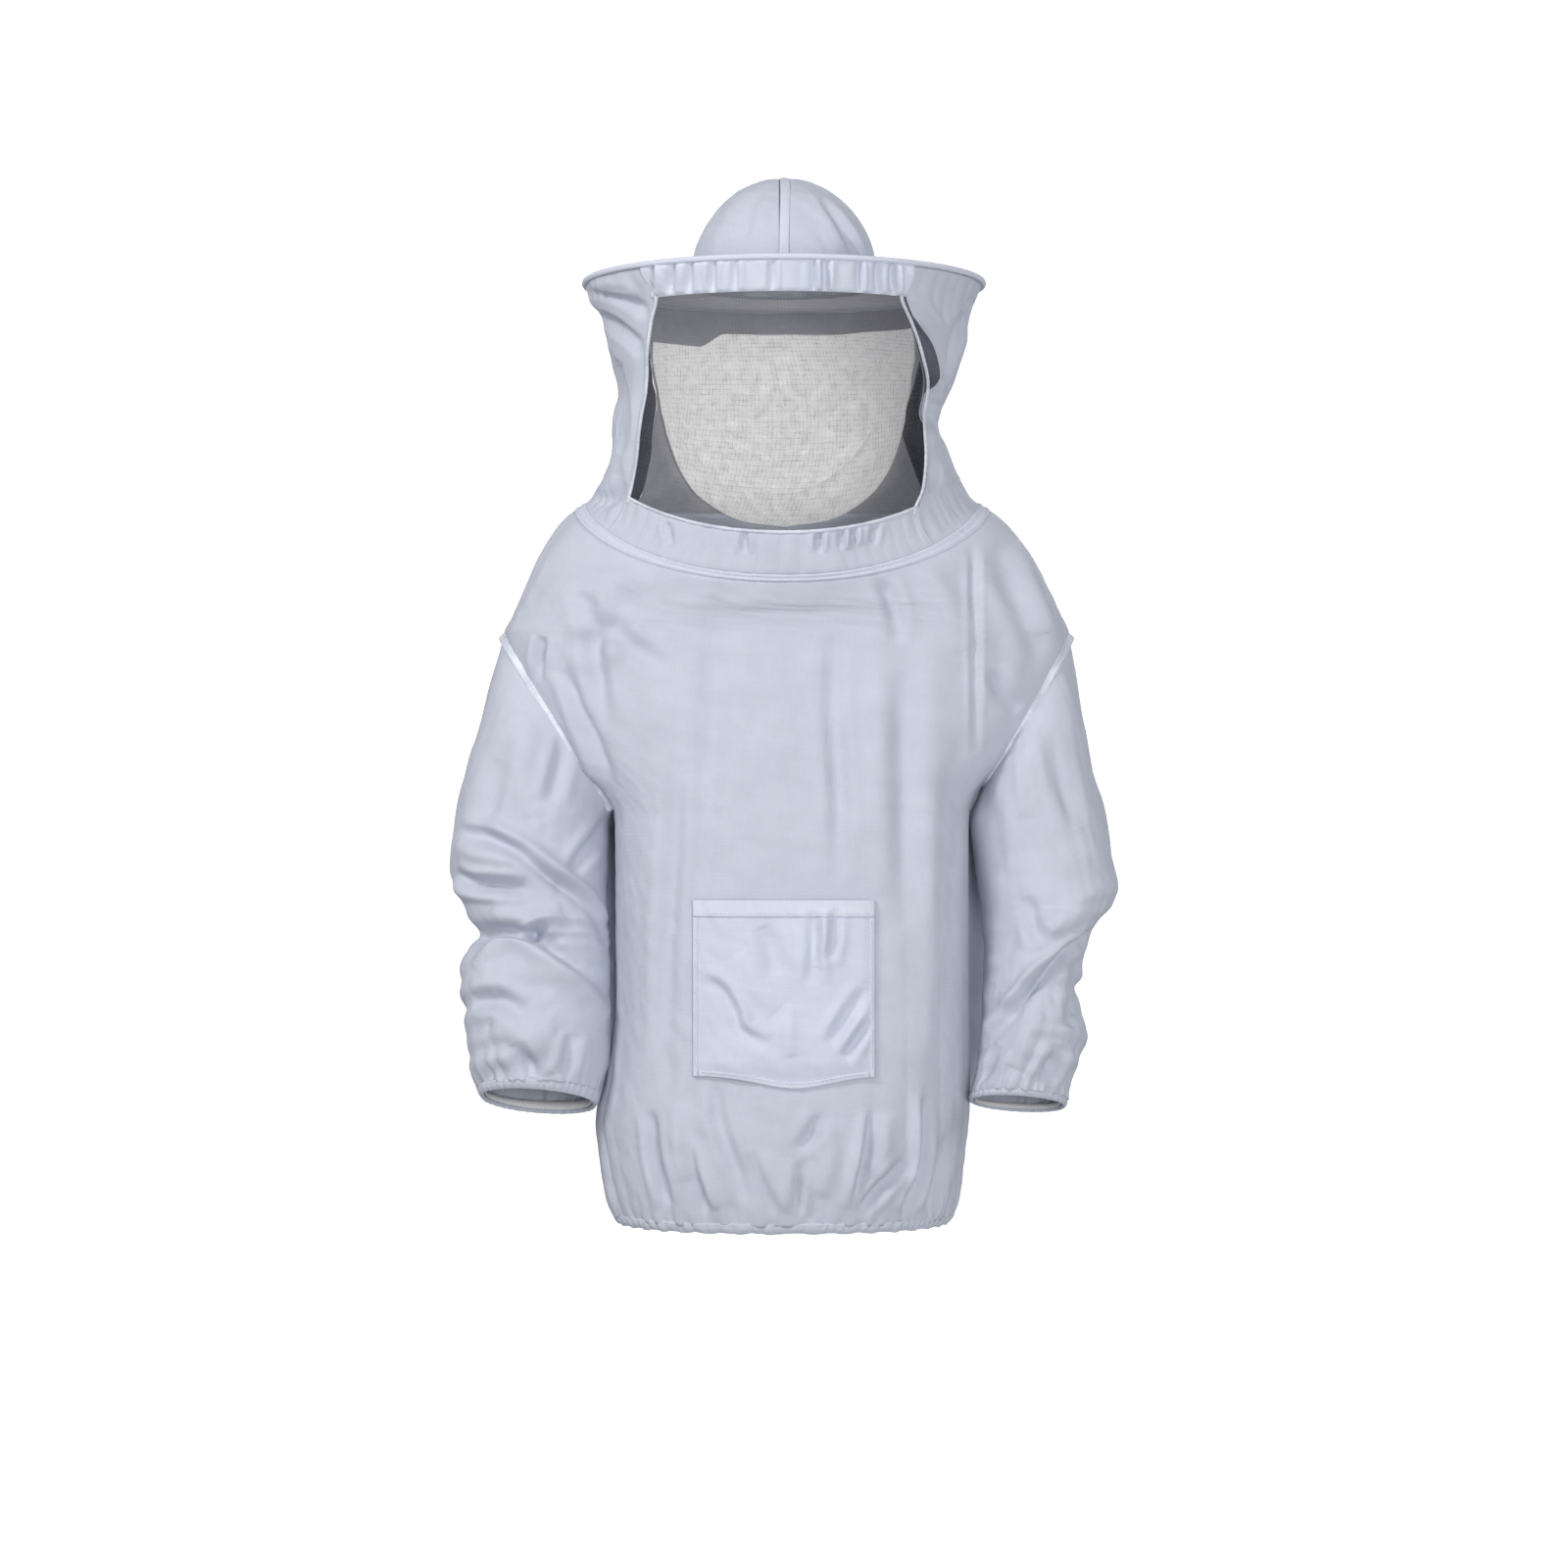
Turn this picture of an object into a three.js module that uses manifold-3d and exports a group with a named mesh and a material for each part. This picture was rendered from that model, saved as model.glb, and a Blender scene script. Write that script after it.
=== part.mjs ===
// A pullover beekeeping smock with a round veil hat sewn to its neck, as it hangs on a wearer.
// Millimetres, +Z up. -Y is the front and +X the viewer's right. Heights are counted from the hem's lower edge.
import * as THREE from "three";
import { mergeVertices } from "three/addons/utils/BufferGeometryUtils.js";
import Module from "manifold-3d";

const wasm = await Module();
wasm.setup();

// Driving dimensions
const clothWall = 2; // every cotton panel, with the loft of its folds
const trimWall = 1.2; // folded tapes and bands
const gap = 0.3; // between pieces that are sewn to each other
const hemHalfWidth = 167;
const skirtHalfWidth = 187; // where the jacket blouses out under the cuffs
const bodyHalfWidth = 171; // between the sleeves
const bodyHalfDepth = 142;
const armpitLevel = 420;
const shoulderLevel = 597;
const shoulderHalfWidth = 287;
const armholeTop = 283; // distance of the armhole's top from the middle plane
const armholeBottom = 175; // and of its lowest point
const neckLevel = 728; // the neck seam at the sides and the back
const neckDrop = 81; // how much lower the seam lies at the throat
const neckHalfWidth = 202;
const neckGap = 0.9; // at the neck seam, whose curve is the steepest
const veilWaistHalfWidth = 162;
const brimLevel = 954;
const brimRadius = 206;
const brimCore = 2; // thickness of the stiff disc
const brimCover = 1;
const brimWireRadius = 1;
const crownRadius = 96;
const crownHeight = 108;
const crownSeamWidth = 9;
const sweatbandHeight = 28;
const liningGap = 2.4; // the lining hangs loose in the back
const windowHalfAngle = 43;
const backHalfAngle = 52; // of the veil's back, and of the lining inside it
const windowBottom = 762;
const windowTop = 922;
const frameWidth = 4;
const topBandHeight = 28;
const pocketWidth = 178;
const pocketHeight = 175;
const pocketTop = 331;
const pocketStand = 10; // how far the pocket's front stands off the body
const pocketHemHeight = 16;
const hemCasingHeight = 10;
const cuffCasingHeight = 9;
const elasticWall = 1;
const bindingWidth = 7;
const cuffHalfDepth = 52;
const wearerLevel = 688; // the middle of the wearer's neck, where the garment is carried

const degree = Math.PI / 180;
const brimBottom = brimLevel - brimCore / 2 - gap - brimCover;
const veilTop = brimBottom - gap;

// Half widths, half depths and roundness of the garment's horizontal sections, from the hem to the brim.
const sections = [
  [0, hemHalfWidth, bodyHalfDepth - 24, 2.4],
  [45, skirtHalfWidth - 5, bodyHalfDepth - 8, 2.4],
  [95, skirtHalfWidth, bodyHalfDepth, 2.4],
  [150, bodyHalfWidth + 5, bodyHalfDepth, 2.5],
  [210, bodyHalfWidth, bodyHalfDepth, 2.5],
  [armpitLevel - 130, bodyHalfWidth, bodyHalfDepth, 2.5],
  [armpitLevel, bodyHalfWidth + 1, bodyHalfDepth - 2, 2.5],
  [armpitLevel + 50, shoulderHalfWidth - 51, bodyHalfDepth - 6, 2.5],
  [armpitLevel + 128, shoulderHalfWidth - 6, bodyHalfDepth - 12, 2.5],
  [shoulderLevel, shoulderHalfWidth, bodyHalfDepth - 16, 2.5],
  [neckLevel - 68, shoulderHalfWidth - 28, bodyHalfDepth - 12, 2.4],
  [neckLevel - 38, shoulderHalfWidth - 44, bodyHalfDepth - 8, 2.3],
  [neckLevel - 12, neckHalfWidth + 20, bodyHalfDepth - 4, 2.2],
  [neckLevel, neckHalfWidth, bodyHalfDepth, 2.2],
  [neckLevel + 20, veilWaistHalfWidth + 24, bodyHalfDepth + 4, 2.1],
  [neckLevel + 50, veilWaistHalfWidth + 8, bodyHalfDepth + 9, 2.1],
  [neckLevel + 98, veilWaistHalfWidth, bodyHalfDepth + 17, 2.1],
  [brimLevel - 86, veilWaistHalfWidth + 10, brimRadius - 34, 2.1],
  [brimLevel - 36, brimRadius - 21, brimRadius - 14, 2],
  [brimLevel, brimRadius - 4, brimRadius - 4, 2],
];

// A smooth curve through rows of [place, value, value...], read at a place.
function along(rows, place) {
  const last = rows.length - 1;
  let i = 0;
  while (i < last - 1 && place > rows[i + 1][0]) i++;
  const [a, b] = [rows[i], rows[i + 1]];
  const before = rows[Math.max(i - 1, 0)];
  const after = rows[Math.min(i + 2, last)];
  const span = b[0] - a[0];
  const t = THREE.MathUtils.clamp((place - a[0]) / span, 0, 1);
  return a.slice(1).map((value, k) => {
    const next = b[k + 1];
    const leave = ((next - before[k + 1]) / (b[0] - before[0])) * span;
    const arrive = ((after[k + 1] - value) / (after[0] - a[0])) * span;
    const rise = t * t * (3 - 2 * t);
    return value + (next - value) * rise + leave * t * (1 - t) * (1 - t) - arrive * t * t * (1 - t);
  });
}

const bump = (value, power) => Math.sign(value) * Math.abs(value) ** (2 / power);

// How far the throat's dip carries a level down: all of it at the neck seam, none at the chest or the brim.
function dip(u, level) {
  const below = THREE.MathUtils.smoothstep(level, neckLevel - 140, neckLevel);
  const above = 1 - THREE.MathUtils.smoothstep(level, neckLevel, neckLevel + 160);
  return neckDrop * Math.max(Math.cos(u), 0) ** 1.3 * (level < neckLevel ? below : above);
}

// The garment's skin: u turns from the front towards +X, level rises from hem to brim, inset goes inwards.
function garment(u, level, inset) {
  const [wide, deep, power] = along(sections, level);
  return [
    (wide - inset) * bump(Math.sin(u), power),
    -(deep - inset) * bump(Math.cos(u), power),
    level - dip(u, level),
  ];
}

// Carries a closed section of [inset, level] points round a surface, from angle a to angle b.
// An open sweep is capped, so its section is one line of levels out and the same line back.
function sweep(surface, section, a, b, spans) {
  const whole = b - a > 2 * Math.PI - 1e-6;
  const columns = whole ? spans : spans + 1;
  const n = section.length;
  const positions = [];
  const faces = [];
  for (let i = 0; i < columns; i++) {
    const u = a + ((b - a) * i) / spans;
    for (const [inset, level] of section) positions.push(...surface(u, level, inset));
  }
  const quad = (p, q, r, s) => faces.push(p, q, r, p, r, s);
  for (let i = 0; i < spans; i++) {
    const here = i * n;
    const there = ((i + 1) % columns) * n;
    for (let j = 0; j < n; j++) quad(here + j, here + ((j + 1) % n), there + ((j + 1) % n), there + j);
  }
  if (!whole) {
    const end = spans * n;
    for (let j = 0; j < n / 2 - 1; j++) {
      quad(j, n - 1 - j, n - 2 - j, j + 1);
      quad(end + j, end + j + 1, end + n - 2 - j, end + n - 1 - j);
    }
  }
  return facingOut(positions, faces);
}

// The same body with its faces turned to point outwards.
function facingOut(positions, faces) {
  const corner = (i) => new THREE.Vector3().fromArray(positions, 3 * faces[i]);
  let volume = 0;
  for (let i = 0; i < faces.length; i += 3) {
    volume += corner(i).dot(corner(i + 1).cross(corner(i + 2)));
  }
  const geometry = new THREE.BufferGeometry();
  geometry.setAttribute("position", new THREE.Float32BufferAttribute(positions, 3));
  geometry.setIndex(volume < 0 ? faces.reverse() : faces);
  return geometry;
}

const steps = (from, to, rows) => Array.from({ length: rows + 1 }, (_, i) => from + ((to - from) * i) / rows);

// A wall's section: up the outside and down the inside.
function wallAt(levels, outside, inside) {
  const down = [...levels].reverse();
  return [...levels.map((level) => [outside, level]), ...down.map((level) => [inside, level])];
}

const wall = (from, to, outside, inside, rows) => wallAt(steps(from, to, rows), outside, inside);

function solid(geometry) {
  const plain = geometry.clone();
  plain.deleteAttribute("normal");
  plain.deleteAttribute("uv");
  const merged = mergeVertices(plain, 1e-4);
  return new wasm.Manifold(
    new wasm.Mesh({
      numProp: 3,
      vertProperties: merged.attributes.position.array,
      triVerts: new Uint32Array(merged.index.array),
    }),
  );
}

function geometryOf(made) {
  const mesh = made.getMesh();
  const geometry = new THREE.BufferGeometry();
  geometry.setAttribute("position", new THREE.BufferAttribute(mesh.vertProperties, 3));
  geometry.setIndex(new THREE.BufferAttribute(mesh.triVerts, 1));
  return geometry;
}

const cotton = new THREE.MeshStandardMaterial({ color: 0xc8cfdd, roughness: 0.9 });
const whiteTape = new THREE.MeshStandardMaterial({ color: 0xe0e6f2, roughness: 0.85 });
const liningCloth = new THREE.MeshStandardMaterial({ color: 0xdedddc, roughness: 0.95 });
const net = new THREE.MeshStandardMaterial({ color: 0x3a3b40, roughness: 0.8 });
const steel = new THREE.MeshStandardMaterial({ color: 0x9a9da1, roughness: 0.35, metalness: 1 });
const stiffBoard = new THREE.MeshStandardMaterial({ color: 0xcfd0d2, roughness: 0.6 });
const elastic = new THREE.MeshStandardMaterial({ color: 0xe9e9ea, roughness: 0.9 });

const suit = new THREE.Group();
suit.position.z = -wearerLevel;

function add(name, geometry, material) {
  const mesh = new THREE.Mesh(geometry, material);
  mesh.name = name;
  suit.add(mesh);
}

// The armhole lies in a plane that leans outwards from the armpit to the shoulder, side -1 on the left.
const armholeLength = Math.hypot(armholeTop - armholeBottom, shoulderLevel - 2 - armpitLevel);
const armholeDown = [
  (armholeTop - armholeBottom) / armholeLength,
  (shoulderLevel - 2 - armpitLevel) / armholeLength,
];
const armholeMiddle = [(armholeTop + armholeBottom) / 2, (shoulderLevel - 2 + armpitLevel) / 2];

// What the armhole takes out of the body panels: everything beyond its plane and above the armpit.
function armholeCutter(side) {
  const beyond = 60;
  const outline = new THREE.Shape([
    new THREE.Vector2(side * armholeBottom, armpitLevel),
    new THREE.Vector2(side * 420, armpitLevel),
    new THREE.Vector2(side * 420, shoulderLevel + beyond * armholeDown[1]),
    new THREE.Vector2(side * (armholeTop + beyond * armholeDown[0]), shoulderLevel - 2 + beyond * armholeDown[1]),
  ]);
  const cutter = new THREE.ExtrudeGeometry(outline, { depth: 600, bevelEnabled: false });
  cutter.rotateX(Math.PI / 2);
  cutter.translate(0, 300, 0);
  return solid(cutter);
}

function addBodyPanels() {
  const cutters = [armholeCutter(-1), armholeCutter(1)];
  const seam = gap / 2 / bodyHalfDepth;
  const skirt = steps(hemCasingHeight + gap, armpitLevel, 6);
  const chest = steps(armpitLevel, neckLevel - bindingWidth / 2 - neckGap, 7);
  const section = wallAt([...skirt, ...chest.slice(1)], 0, clothWall);
  for (const [name, start] of [["front_panel", -90], ["back_panel", 90]]) {
    let panel = solid(sweep(garment, section, start * degree + seam, (start + 180) * degree - seam, 18));
    for (const cutter of cutters) panel = panel.subtract(cutter);
    add(name, geometryOf(panel), cotton);
  }
}

// The armhole's outline: from its middle, the way out to the body's skin along each direction of its plane.
const armpitClearance = (bindingWidth / 2 + gap) * armholeDown[0] + trimWall + gap;

function armholeReach(angle, inset) {
  const [down, flat] = [Math.cos(angle), Math.sin(angle)];
  let near = 0;
  let far = 200;
  for (let i = 0; i < 30; i++) {
    const reach = (near + far) / 2;
    const x = armholeMiddle[0] - armholeDown[0] * down * reach;
    const level = armholeMiddle[1] - armholeDown[1] * down * reach;
    const [wide, deep, power] = along(sections, level);
    const outside = (x / wide) ** power + Math.abs((flat * reach) / deep) ** power > 1;
    if (outside || level < armpitLevel + armpitClearance) far = reach;
    else near = reach;
  }
  return near - inset;
}

// A sleeve's cross-sections below the armhole: outer edge, inner edge, as [distance from the middle plane, level],
// then half depth, middle's place along Y, and how much the section tips to face forwards.
const sleeveRows = {
  left: [
    [[301, 536], [177, 406], 84, -4, 0],
    [[318, 478], [178, 386], 84, -8, 0],
    [[336, 388], [179, 338], 82, -16, 0],
    [[335, 346], [178, 312], 78, -22, 0],
    [[314, 288], [176, 280], 72, -28, 0.05],
    [[326, 254], [175, 250], 74, -34, 0.08],
    [[320, 205], [175, 203], 72, -42, 0.14],
    [[315, 160], [177, 160], 66, -50, 0.2],
    [[304, 128], [190, 120], cuffHalfDepth, -54, 0.26],
  ],
  right: [
    [[302, 528], [188, 408], 84, -4, 0],
    [[313, 465], [192, 376], 84, -8, 0],
    [[333, 380], [197, 338], 82, -16, 0],
    [[336, 343], [200, 312], 78, -22, 0],
    [[306, 282], [202, 280], 72, -28, 0.05],
    [[296, 240], [201, 250], 72, -34, 0.08],
    [[304, 200], [199, 203], 70, -42, 0.14],
    [[297, 165], [193, 165], 66, -50, 0.2],
    [[283, 120], [187, 124], cuffHalfDepth, -54, 0.26],
  ],
};

// A sleeve's skin. Level 0 is the armhole and each whole number after it is a row of the table.
function sleeveSurface(side, rows) {
  const stand = bindingWidth / 2 + gap;
  const ringPoint = (row, angle, inset) => {
    const [outer, inner, deep, middle, tip] = rows[row - 1];
    const half = [(inner[0] - outer[0]) / 2, (inner[1] - outer[1]) / 2];
    const shrink = 1 - inset / Math.hypot(...half);
    const x = (outer[0] + inner[0]) / 2 + half[0] * shrink * Math.cos(angle);
    const y = (deep - inset) * Math.sin(angle);
    const z = (outer[1] + inner[1]) / 2 + half[1] * shrink * Math.cos(angle) - tip * y;
    return [side * x, middle + y, z];
  };
  return (angle, level, inset) => {
    const reach = armholeReach(angle, inset);
    const start = [
      side * (armholeMiddle[0] - armholeDown[0] * Math.cos(angle) * reach + armholeDown[1] * stand),
      Math.sin(angle) * reach,
      armholeMiddle[1] - armholeDown[1] * Math.cos(angle) * reach - armholeDown[0] * stand,
    ];
    const stations = [[0, ...start]];
    rows.forEach((_, i) => stations.push([i + 1, ...ringPoint(i + 1, angle, inset)]));
    return along(stations, level);
  };
}

// A ring that lies in the armhole's plane, half of it on each side of the cut.
function armholeRing(side) {
  return (angle, level, inset) => {
    const reach = armholeReach(angle, inset);
    return [
      side * (armholeMiddle[0] - armholeDown[0] * Math.cos(angle) * reach + armholeDown[1] * level),
      Math.sin(angle) * reach,
      armholeMiddle[1] - armholeDown[1] * Math.cos(angle) * reach - armholeDown[0] * level,
    ];
  };
}

function addSleeve(name, side) {
  const rows = sleeveRows[name];
  const surface = sleeveSurface(side, rows);
  const end = rows.length;
  const [lastOuter, lastInner] = rows[end - 1];
  const [nextOuter, nextInner] = rows[end - 2];
  const lastStretch = Math.min(nextOuter[1] - lastOuter[1], nextInner[1] - lastInner[1]);
  const perMillimetre = 1 / lastStretch;
  const casingStart = end - cuffCasingHeight * perMillimetre;
  const around = 2 * Math.PI;
  add(`sleeve_${name}`, sweep(surface, wall(0, casingStart - gap * perMillimetre, 0, clothWall, 13), 0, around, 16), cotton);

  // The cuff's casing is a folded hem, open upwards, with the elastic lying in the fold.
  const floor = end - trimWall * perMillimetre;
  const leaf = clothWall + elasticWall + 2 * gap;
  const casing = [
    [-trimWall, casingStart],
    [-trimWall, end],
    [leaf, end],
    [leaf, casingStart],
    [leaf - trimWall, casingStart],
    [leaf - trimWall, floor],
    [0, floor],
    [0, casingStart],
  ];
  add(`cuff_casing_${name}`, sweep(surface, casing, 0, around, 16), cotton);
  const low = floor - gap * perMillimetre;
  const high = casingStart + 2 * gap * perMillimetre;
  add(`cuff_elastic_${name}`, sweep(surface, wall(high, low, gap, gap + elasticWall, 1), 0, around, 16), elastic);

  const band = wall(gap, bindingWidth / 2, -trimWall, clothWall, 1);
  add(`armhole_tape_${name}`, sweep(armholeRing(side), band, 0, around, 22), whiteTape);
}

function addHem() {
  const leaf = clothWall + elasticWall + 2 * gap;
  const casing = [
    [-trimWall, hemCasingHeight],
    [-trimWall, 0],
    [leaf, 0],
    [leaf, hemCasingHeight],
    [leaf - trimWall, hemCasingHeight],
    [leaf - trimWall, trimWall],
    [0, trimWall],
    [0, hemCasingHeight],
  ];
  add("hem_casing", sweep(garment, casing, 0, 2 * Math.PI, 40), cotton);
  const strip = wall(trimWall + gap, hemCasingHeight - gap, gap, gap + elasticWall, 1);
  add("hem_elastic", sweep(garment, strip, 0, 2 * Math.PI, 40), elastic);
}

// The angle at which the body's skin lies this far from the middle plane at the pocket's height.
function pocketAngle(x) {
  const [wide, , power] = along(sections, pocketTop - pocketHeight / 2);
  return Math.asin((Math.abs(x) / wide) ** (power / 2)) * Math.sign(x);
}

function addPocket() {
  const bottom = pocketTop - pocketHeight;
  const edge = pocketWidth / 2;
  const outer = sweep(garment, wall(bottom, pocketTop, -pocketStand, -gap, 5), pocketAngle(-edge), pocketAngle(edge), 10);
  const inside = wall(bottom + clothWall, pocketTop + 10, clothWall - pocketStand, clothWall, 5);
  const hollow = sweep(garment, inside, pocketAngle(clothWall - edge), pocketAngle(edge - clothWall), 10);
  add("pocket_panel", geometryOf(solid(outer).subtract(solid(hollow))), cotton);
  const face = -pocketStand - gap;
  const hem = wall(pocketTop - pocketHemHeight, pocketTop, face - trimWall, face, 1);
  add("pocket_hem", sweep(garment, hem, pocketAngle(-edge), pocketAngle(edge), 10), whiteTape);
}

// The veil: cotton sides and back, a net window in front with its frame, and a lining behind the head.
function addVeil() {
  const low = neckLevel + bindingWidth / 2 + neckGap;
  const half = windowHalfAngle * degree;
  const frameAngle = (frameWidth + gap) / veilWaistHalfWidth;
  const seam = gap / veilWaistHalfWidth;
  const backEdge = (180 - backHalfAngle) * degree;
  const backSpans = 13;
  const panel = wall(low, veilTop, 0, clothWall, 9);
  const sideStart = half + frameAngle + seam;
  add("veil_side_right", sweep(garment, panel, sideStart, backEdge - seam, 9), cotton);
  add("veil_side_left", sweep(garment, panel, seam - backEdge, -sideStart, 9), cotton);
  add("veil_back", sweep(garment, panel, backEdge, 2 * Math.PI - backEdge, backSpans), cotton);

  const netPanel = wall(windowBottom, windowTop, 0, trimWall, 7);
  add("window_net", sweep(garment, netPanel, seam - half, half - seam, 10), net);
  const lowerBand = wall(low, windowBottom - gap, 0, clothWall, 2);
  add("window_band_bottom", sweep(garment, lowerBand, seam - half, half - seam, 10), cotton);
  const upperBand = wall(windowTop + gap, windowTop + gap + topBandHeight, 0, clothWall, 2);
  add("window_band_top", sweep(garment, upperBand, -half - frameAngle, half + frameAngle, 12), cotton);
  const strip = wall(low, windowTop, 0, clothWall, 7);
  add("window_frame_right", sweep(garment, strip, half, half + frameAngle - seam, 1), whiteTape);
  add("window_frame_left", sweep(garment, strip, seam - half - frameAngle, -half, 1), whiteTape);

  // The lining hangs inside the veil's back, and its lower edge is a U.
  const liningTop = veilTop - 8;
  const hung = (u, share, inset) => {
    const aside = (Math.PI - u) / (Math.PI - backEdge);
    const edge = neckLevel + 24 + 90 * Math.abs(aside) ** 3;
    return garment(u, edge + (liningTop - edge) * share, inset);
  };
  const face = clothWall + liningGap;
  const sheet = wall(0, 1, face, face + trimWall, 9);
  add("back_lining", sweep(hung, sheet, backEdge, 2 * Math.PI - backEdge, backSpans), liningCloth);

  const ring = wall(neckLevel - bindingWidth / 2, neckLevel + bindingWidth / 2, -trimWall, clothWall, 1);
  add("neck_binding", sweep(garment, ring, 0, 2 * Math.PI, 56), whiteTape);
}

// A ring turned about the hat's axis, from closed [radius, height above the brim] points.
function turned(points) {
  const profile = [...points, points[0]].map(([radius, height]) => new THREE.Vector2(radius, height));
  const geometry = new THREE.LatheGeometry(profile, 32);
  geometry.rotateX(Math.PI / 2);
  geometry.translate(0, 0, brimLevel);
  return geometryOf(solid(geometry));
}

function addBrim() {
  const bindingWall = 0.8;
  const channel = brimWireRadius + gap;
  const bindingHalf = Math.max(channel + bindingWall, brimCore / 2 + gap + brimCover);
  const bindingDepth = 2 * channel + bindingWall + gap;
  const inner = crownRadius + gap;
  const outer = brimRadius - bindingDepth - gap;
  const disc = (low, high) => [
    [inner, low],
    [outer, low],
    [outer, high],
    [inner, high],
  ];
  const core = brimCore / 2;
  add("brim_core", turned(disc(-core, core)), stiffBoard);
  add("brim_top_cover", turned(disc(core + gap, core + gap + brimCover)), cotton);
  add("brim_under_cover", turned(disc(-core - gap - brimCover, -core - gap)), cotton);
  const mouth = brimRadius - bindingDepth;
  const bottom = brimRadius - bindingWall;
  const channelHalf = bindingHalf - bindingWall;
  add(
    "brim_edge_binding",
    turned(
      [
        [mouth, -bindingHalf],
        [bottom, -bindingHalf],
        [brimRadius, -channelHalf],
        [brimRadius, channelHalf],
        [bottom, bindingHalf],
        [mouth, bindingHalf],
        [mouth, channelHalf],
        [bottom, channelHalf],
        [bottom, -channelHalf],
        [mouth, -channelHalf],
      ],
    ),
    cotton,
  );
  const centre = bottom - gap - brimWireRadius;
  const wire = [];
  for (let i = 0; i < 4; i++) {
    const angle = (i * Math.PI) / 2;
    wire.push([centre + brimWireRadius * Math.cos(angle), brimWireRadius * Math.sin(angle)]);
  }
  add("brim_wire_hoop", turned(wire), steel);
}

// The crown is half an ellipsoid, sewn from two panels with a flat seam from front to back.
function addCrown() {
  const rise = 8;
  const arc = (inset) =>
    Array.from({ length: rise + 1 }, (_, i) => {
      const angle = (i * Math.PI) / 2 / rise;
      const radius = i === rise ? 0 : (crownRadius - inset) * Math.cos(angle);
      return [radius, (crownHeight - inset) * Math.sin(angle)];
    });
  const foot = -brimCore / 2 - gap - brimCover;
  const outside = [[crownRadius, foot], ...arc(0)];
  const inside = [[crownRadius - clothWall, foot], ...arc(clothWall)].reverse();
  const dome = solid(turned([...outside, ...inside]));
  const slab = (low, high) => {
    const box = new THREE.BoxGeometry(high - low, 2 * brimRadius, 2 * crownHeight + 60);
    box.translate((low + high) / 2, 0, brimLevel + crownHeight / 2);
    return solid(box);
  };
  const seam = crownSeamWidth / 2;
  add("crown_panel_left", geometryOf(dome.intersect(slab(-brimRadius, -seam - gap))), cotton);
  add("crown_panel_right", geometryOf(dome.intersect(slab(seam + gap, brimRadius))), cotton);
  add("crown_seam_tape", geometryOf(dome.intersect(slab(-seam, seam))), whiteTape);

  const clear = clothWall + gap + 0.4;
  const bandEdge = (inset, height) => {
    const share = height / (crownHeight - clothWall);
    return [(crownRadius - inset) * Math.sqrt(1 - share ** 2), height];
  };
  const heights = [0, sweatbandHeight / 2, sweatbandHeight];
  const bandOut = heights.map((height) => bandEdge(clear, height));
  const bandIn = heights.map((height) => bandEdge(clear + trimWall, height)).reverse();
  add("sweatband", turned([...bandOut, ...bandIn]), whiteTape);
}

addBodyPanels();
addSleeve("left", -1);
addSleeve("right", 1);
addHem();
addPocket();
addVeil();
addBrim();
addCrown();

export default suit;
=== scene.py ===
# A pullover beekeeping smock of thin white cotton, with a round veil hat sewn to its neck.
import math
import numpy as np
import bpy
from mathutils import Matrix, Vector


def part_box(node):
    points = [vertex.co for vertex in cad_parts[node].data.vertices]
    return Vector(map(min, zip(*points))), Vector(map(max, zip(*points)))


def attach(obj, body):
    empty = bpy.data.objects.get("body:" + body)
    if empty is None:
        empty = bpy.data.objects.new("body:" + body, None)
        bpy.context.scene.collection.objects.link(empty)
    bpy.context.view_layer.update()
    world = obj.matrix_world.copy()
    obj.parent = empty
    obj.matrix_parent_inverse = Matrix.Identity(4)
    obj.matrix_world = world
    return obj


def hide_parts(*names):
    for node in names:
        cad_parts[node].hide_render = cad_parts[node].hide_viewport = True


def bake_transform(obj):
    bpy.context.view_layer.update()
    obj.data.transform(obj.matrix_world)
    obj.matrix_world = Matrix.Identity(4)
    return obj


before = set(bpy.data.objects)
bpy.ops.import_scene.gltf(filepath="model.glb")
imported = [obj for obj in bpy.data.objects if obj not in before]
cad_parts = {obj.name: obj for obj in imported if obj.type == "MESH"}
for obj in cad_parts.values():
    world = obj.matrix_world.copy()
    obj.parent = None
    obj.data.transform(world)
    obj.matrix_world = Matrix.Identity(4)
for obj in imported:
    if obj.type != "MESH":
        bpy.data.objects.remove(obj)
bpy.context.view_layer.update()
mm = 0.001
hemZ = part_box("hem_casing")[0][2]
cottonWall = 0.9  # mm, with the loft of the cloth
foldDepth = 2.3  # how strongly every crease in the tables below is pressed in


def toMetres(points):
    # millimetres counted from the hem become metres in the frame
    return np.asarray(points) * mm + np.array([0, 0, hemZ])


# Camera and studio

studio = {"distance": 3.7, "height": -0.243, "lens": 83.25, "floor": -1.45}


def makeCamera():
    data = bpy.data.cameras.new("portraitCamera")
    data.lens = studio["lens"]
    data.sensor_width = 36
    data.clip_end = 60
    camera = bpy.data.objects.new("portraitCamera", data)
    camera.location = (0, -studio["distance"], studio["height"])
    camera.rotation_euler = (math.radians(90), 0, 0)
    bpy.context.scene.collection.objects.link(camera)
    bpy.context.scene.camera = camera


makeCamera()


def makeLight(name, place, target, size, power, colour):
    data = bpy.data.lights.new(name, "AREA")
    data.shape = "DISK"
    data.size = size
    data.energy = power
    data.color = colour
    light = bpy.data.objects.new(name, data)
    light.location = place
    aim = Vector(target) - Vector(place)
    light.rotation_euler = aim.to_track_quat("-Z", "Y").to_euler()
    bpy.context.scene.collection.objects.link(light)


# Materials

def linear(hexColour):
    channels = [int(hexColour[i:i + 2], 16) / 255 for i in (1, 3, 5)]
    made = [c / 12.92 if c <= 0.04045 else ((c + 0.055) / 1.055) ** 2.4 for c in channels]
    return (*made, 1)


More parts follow.
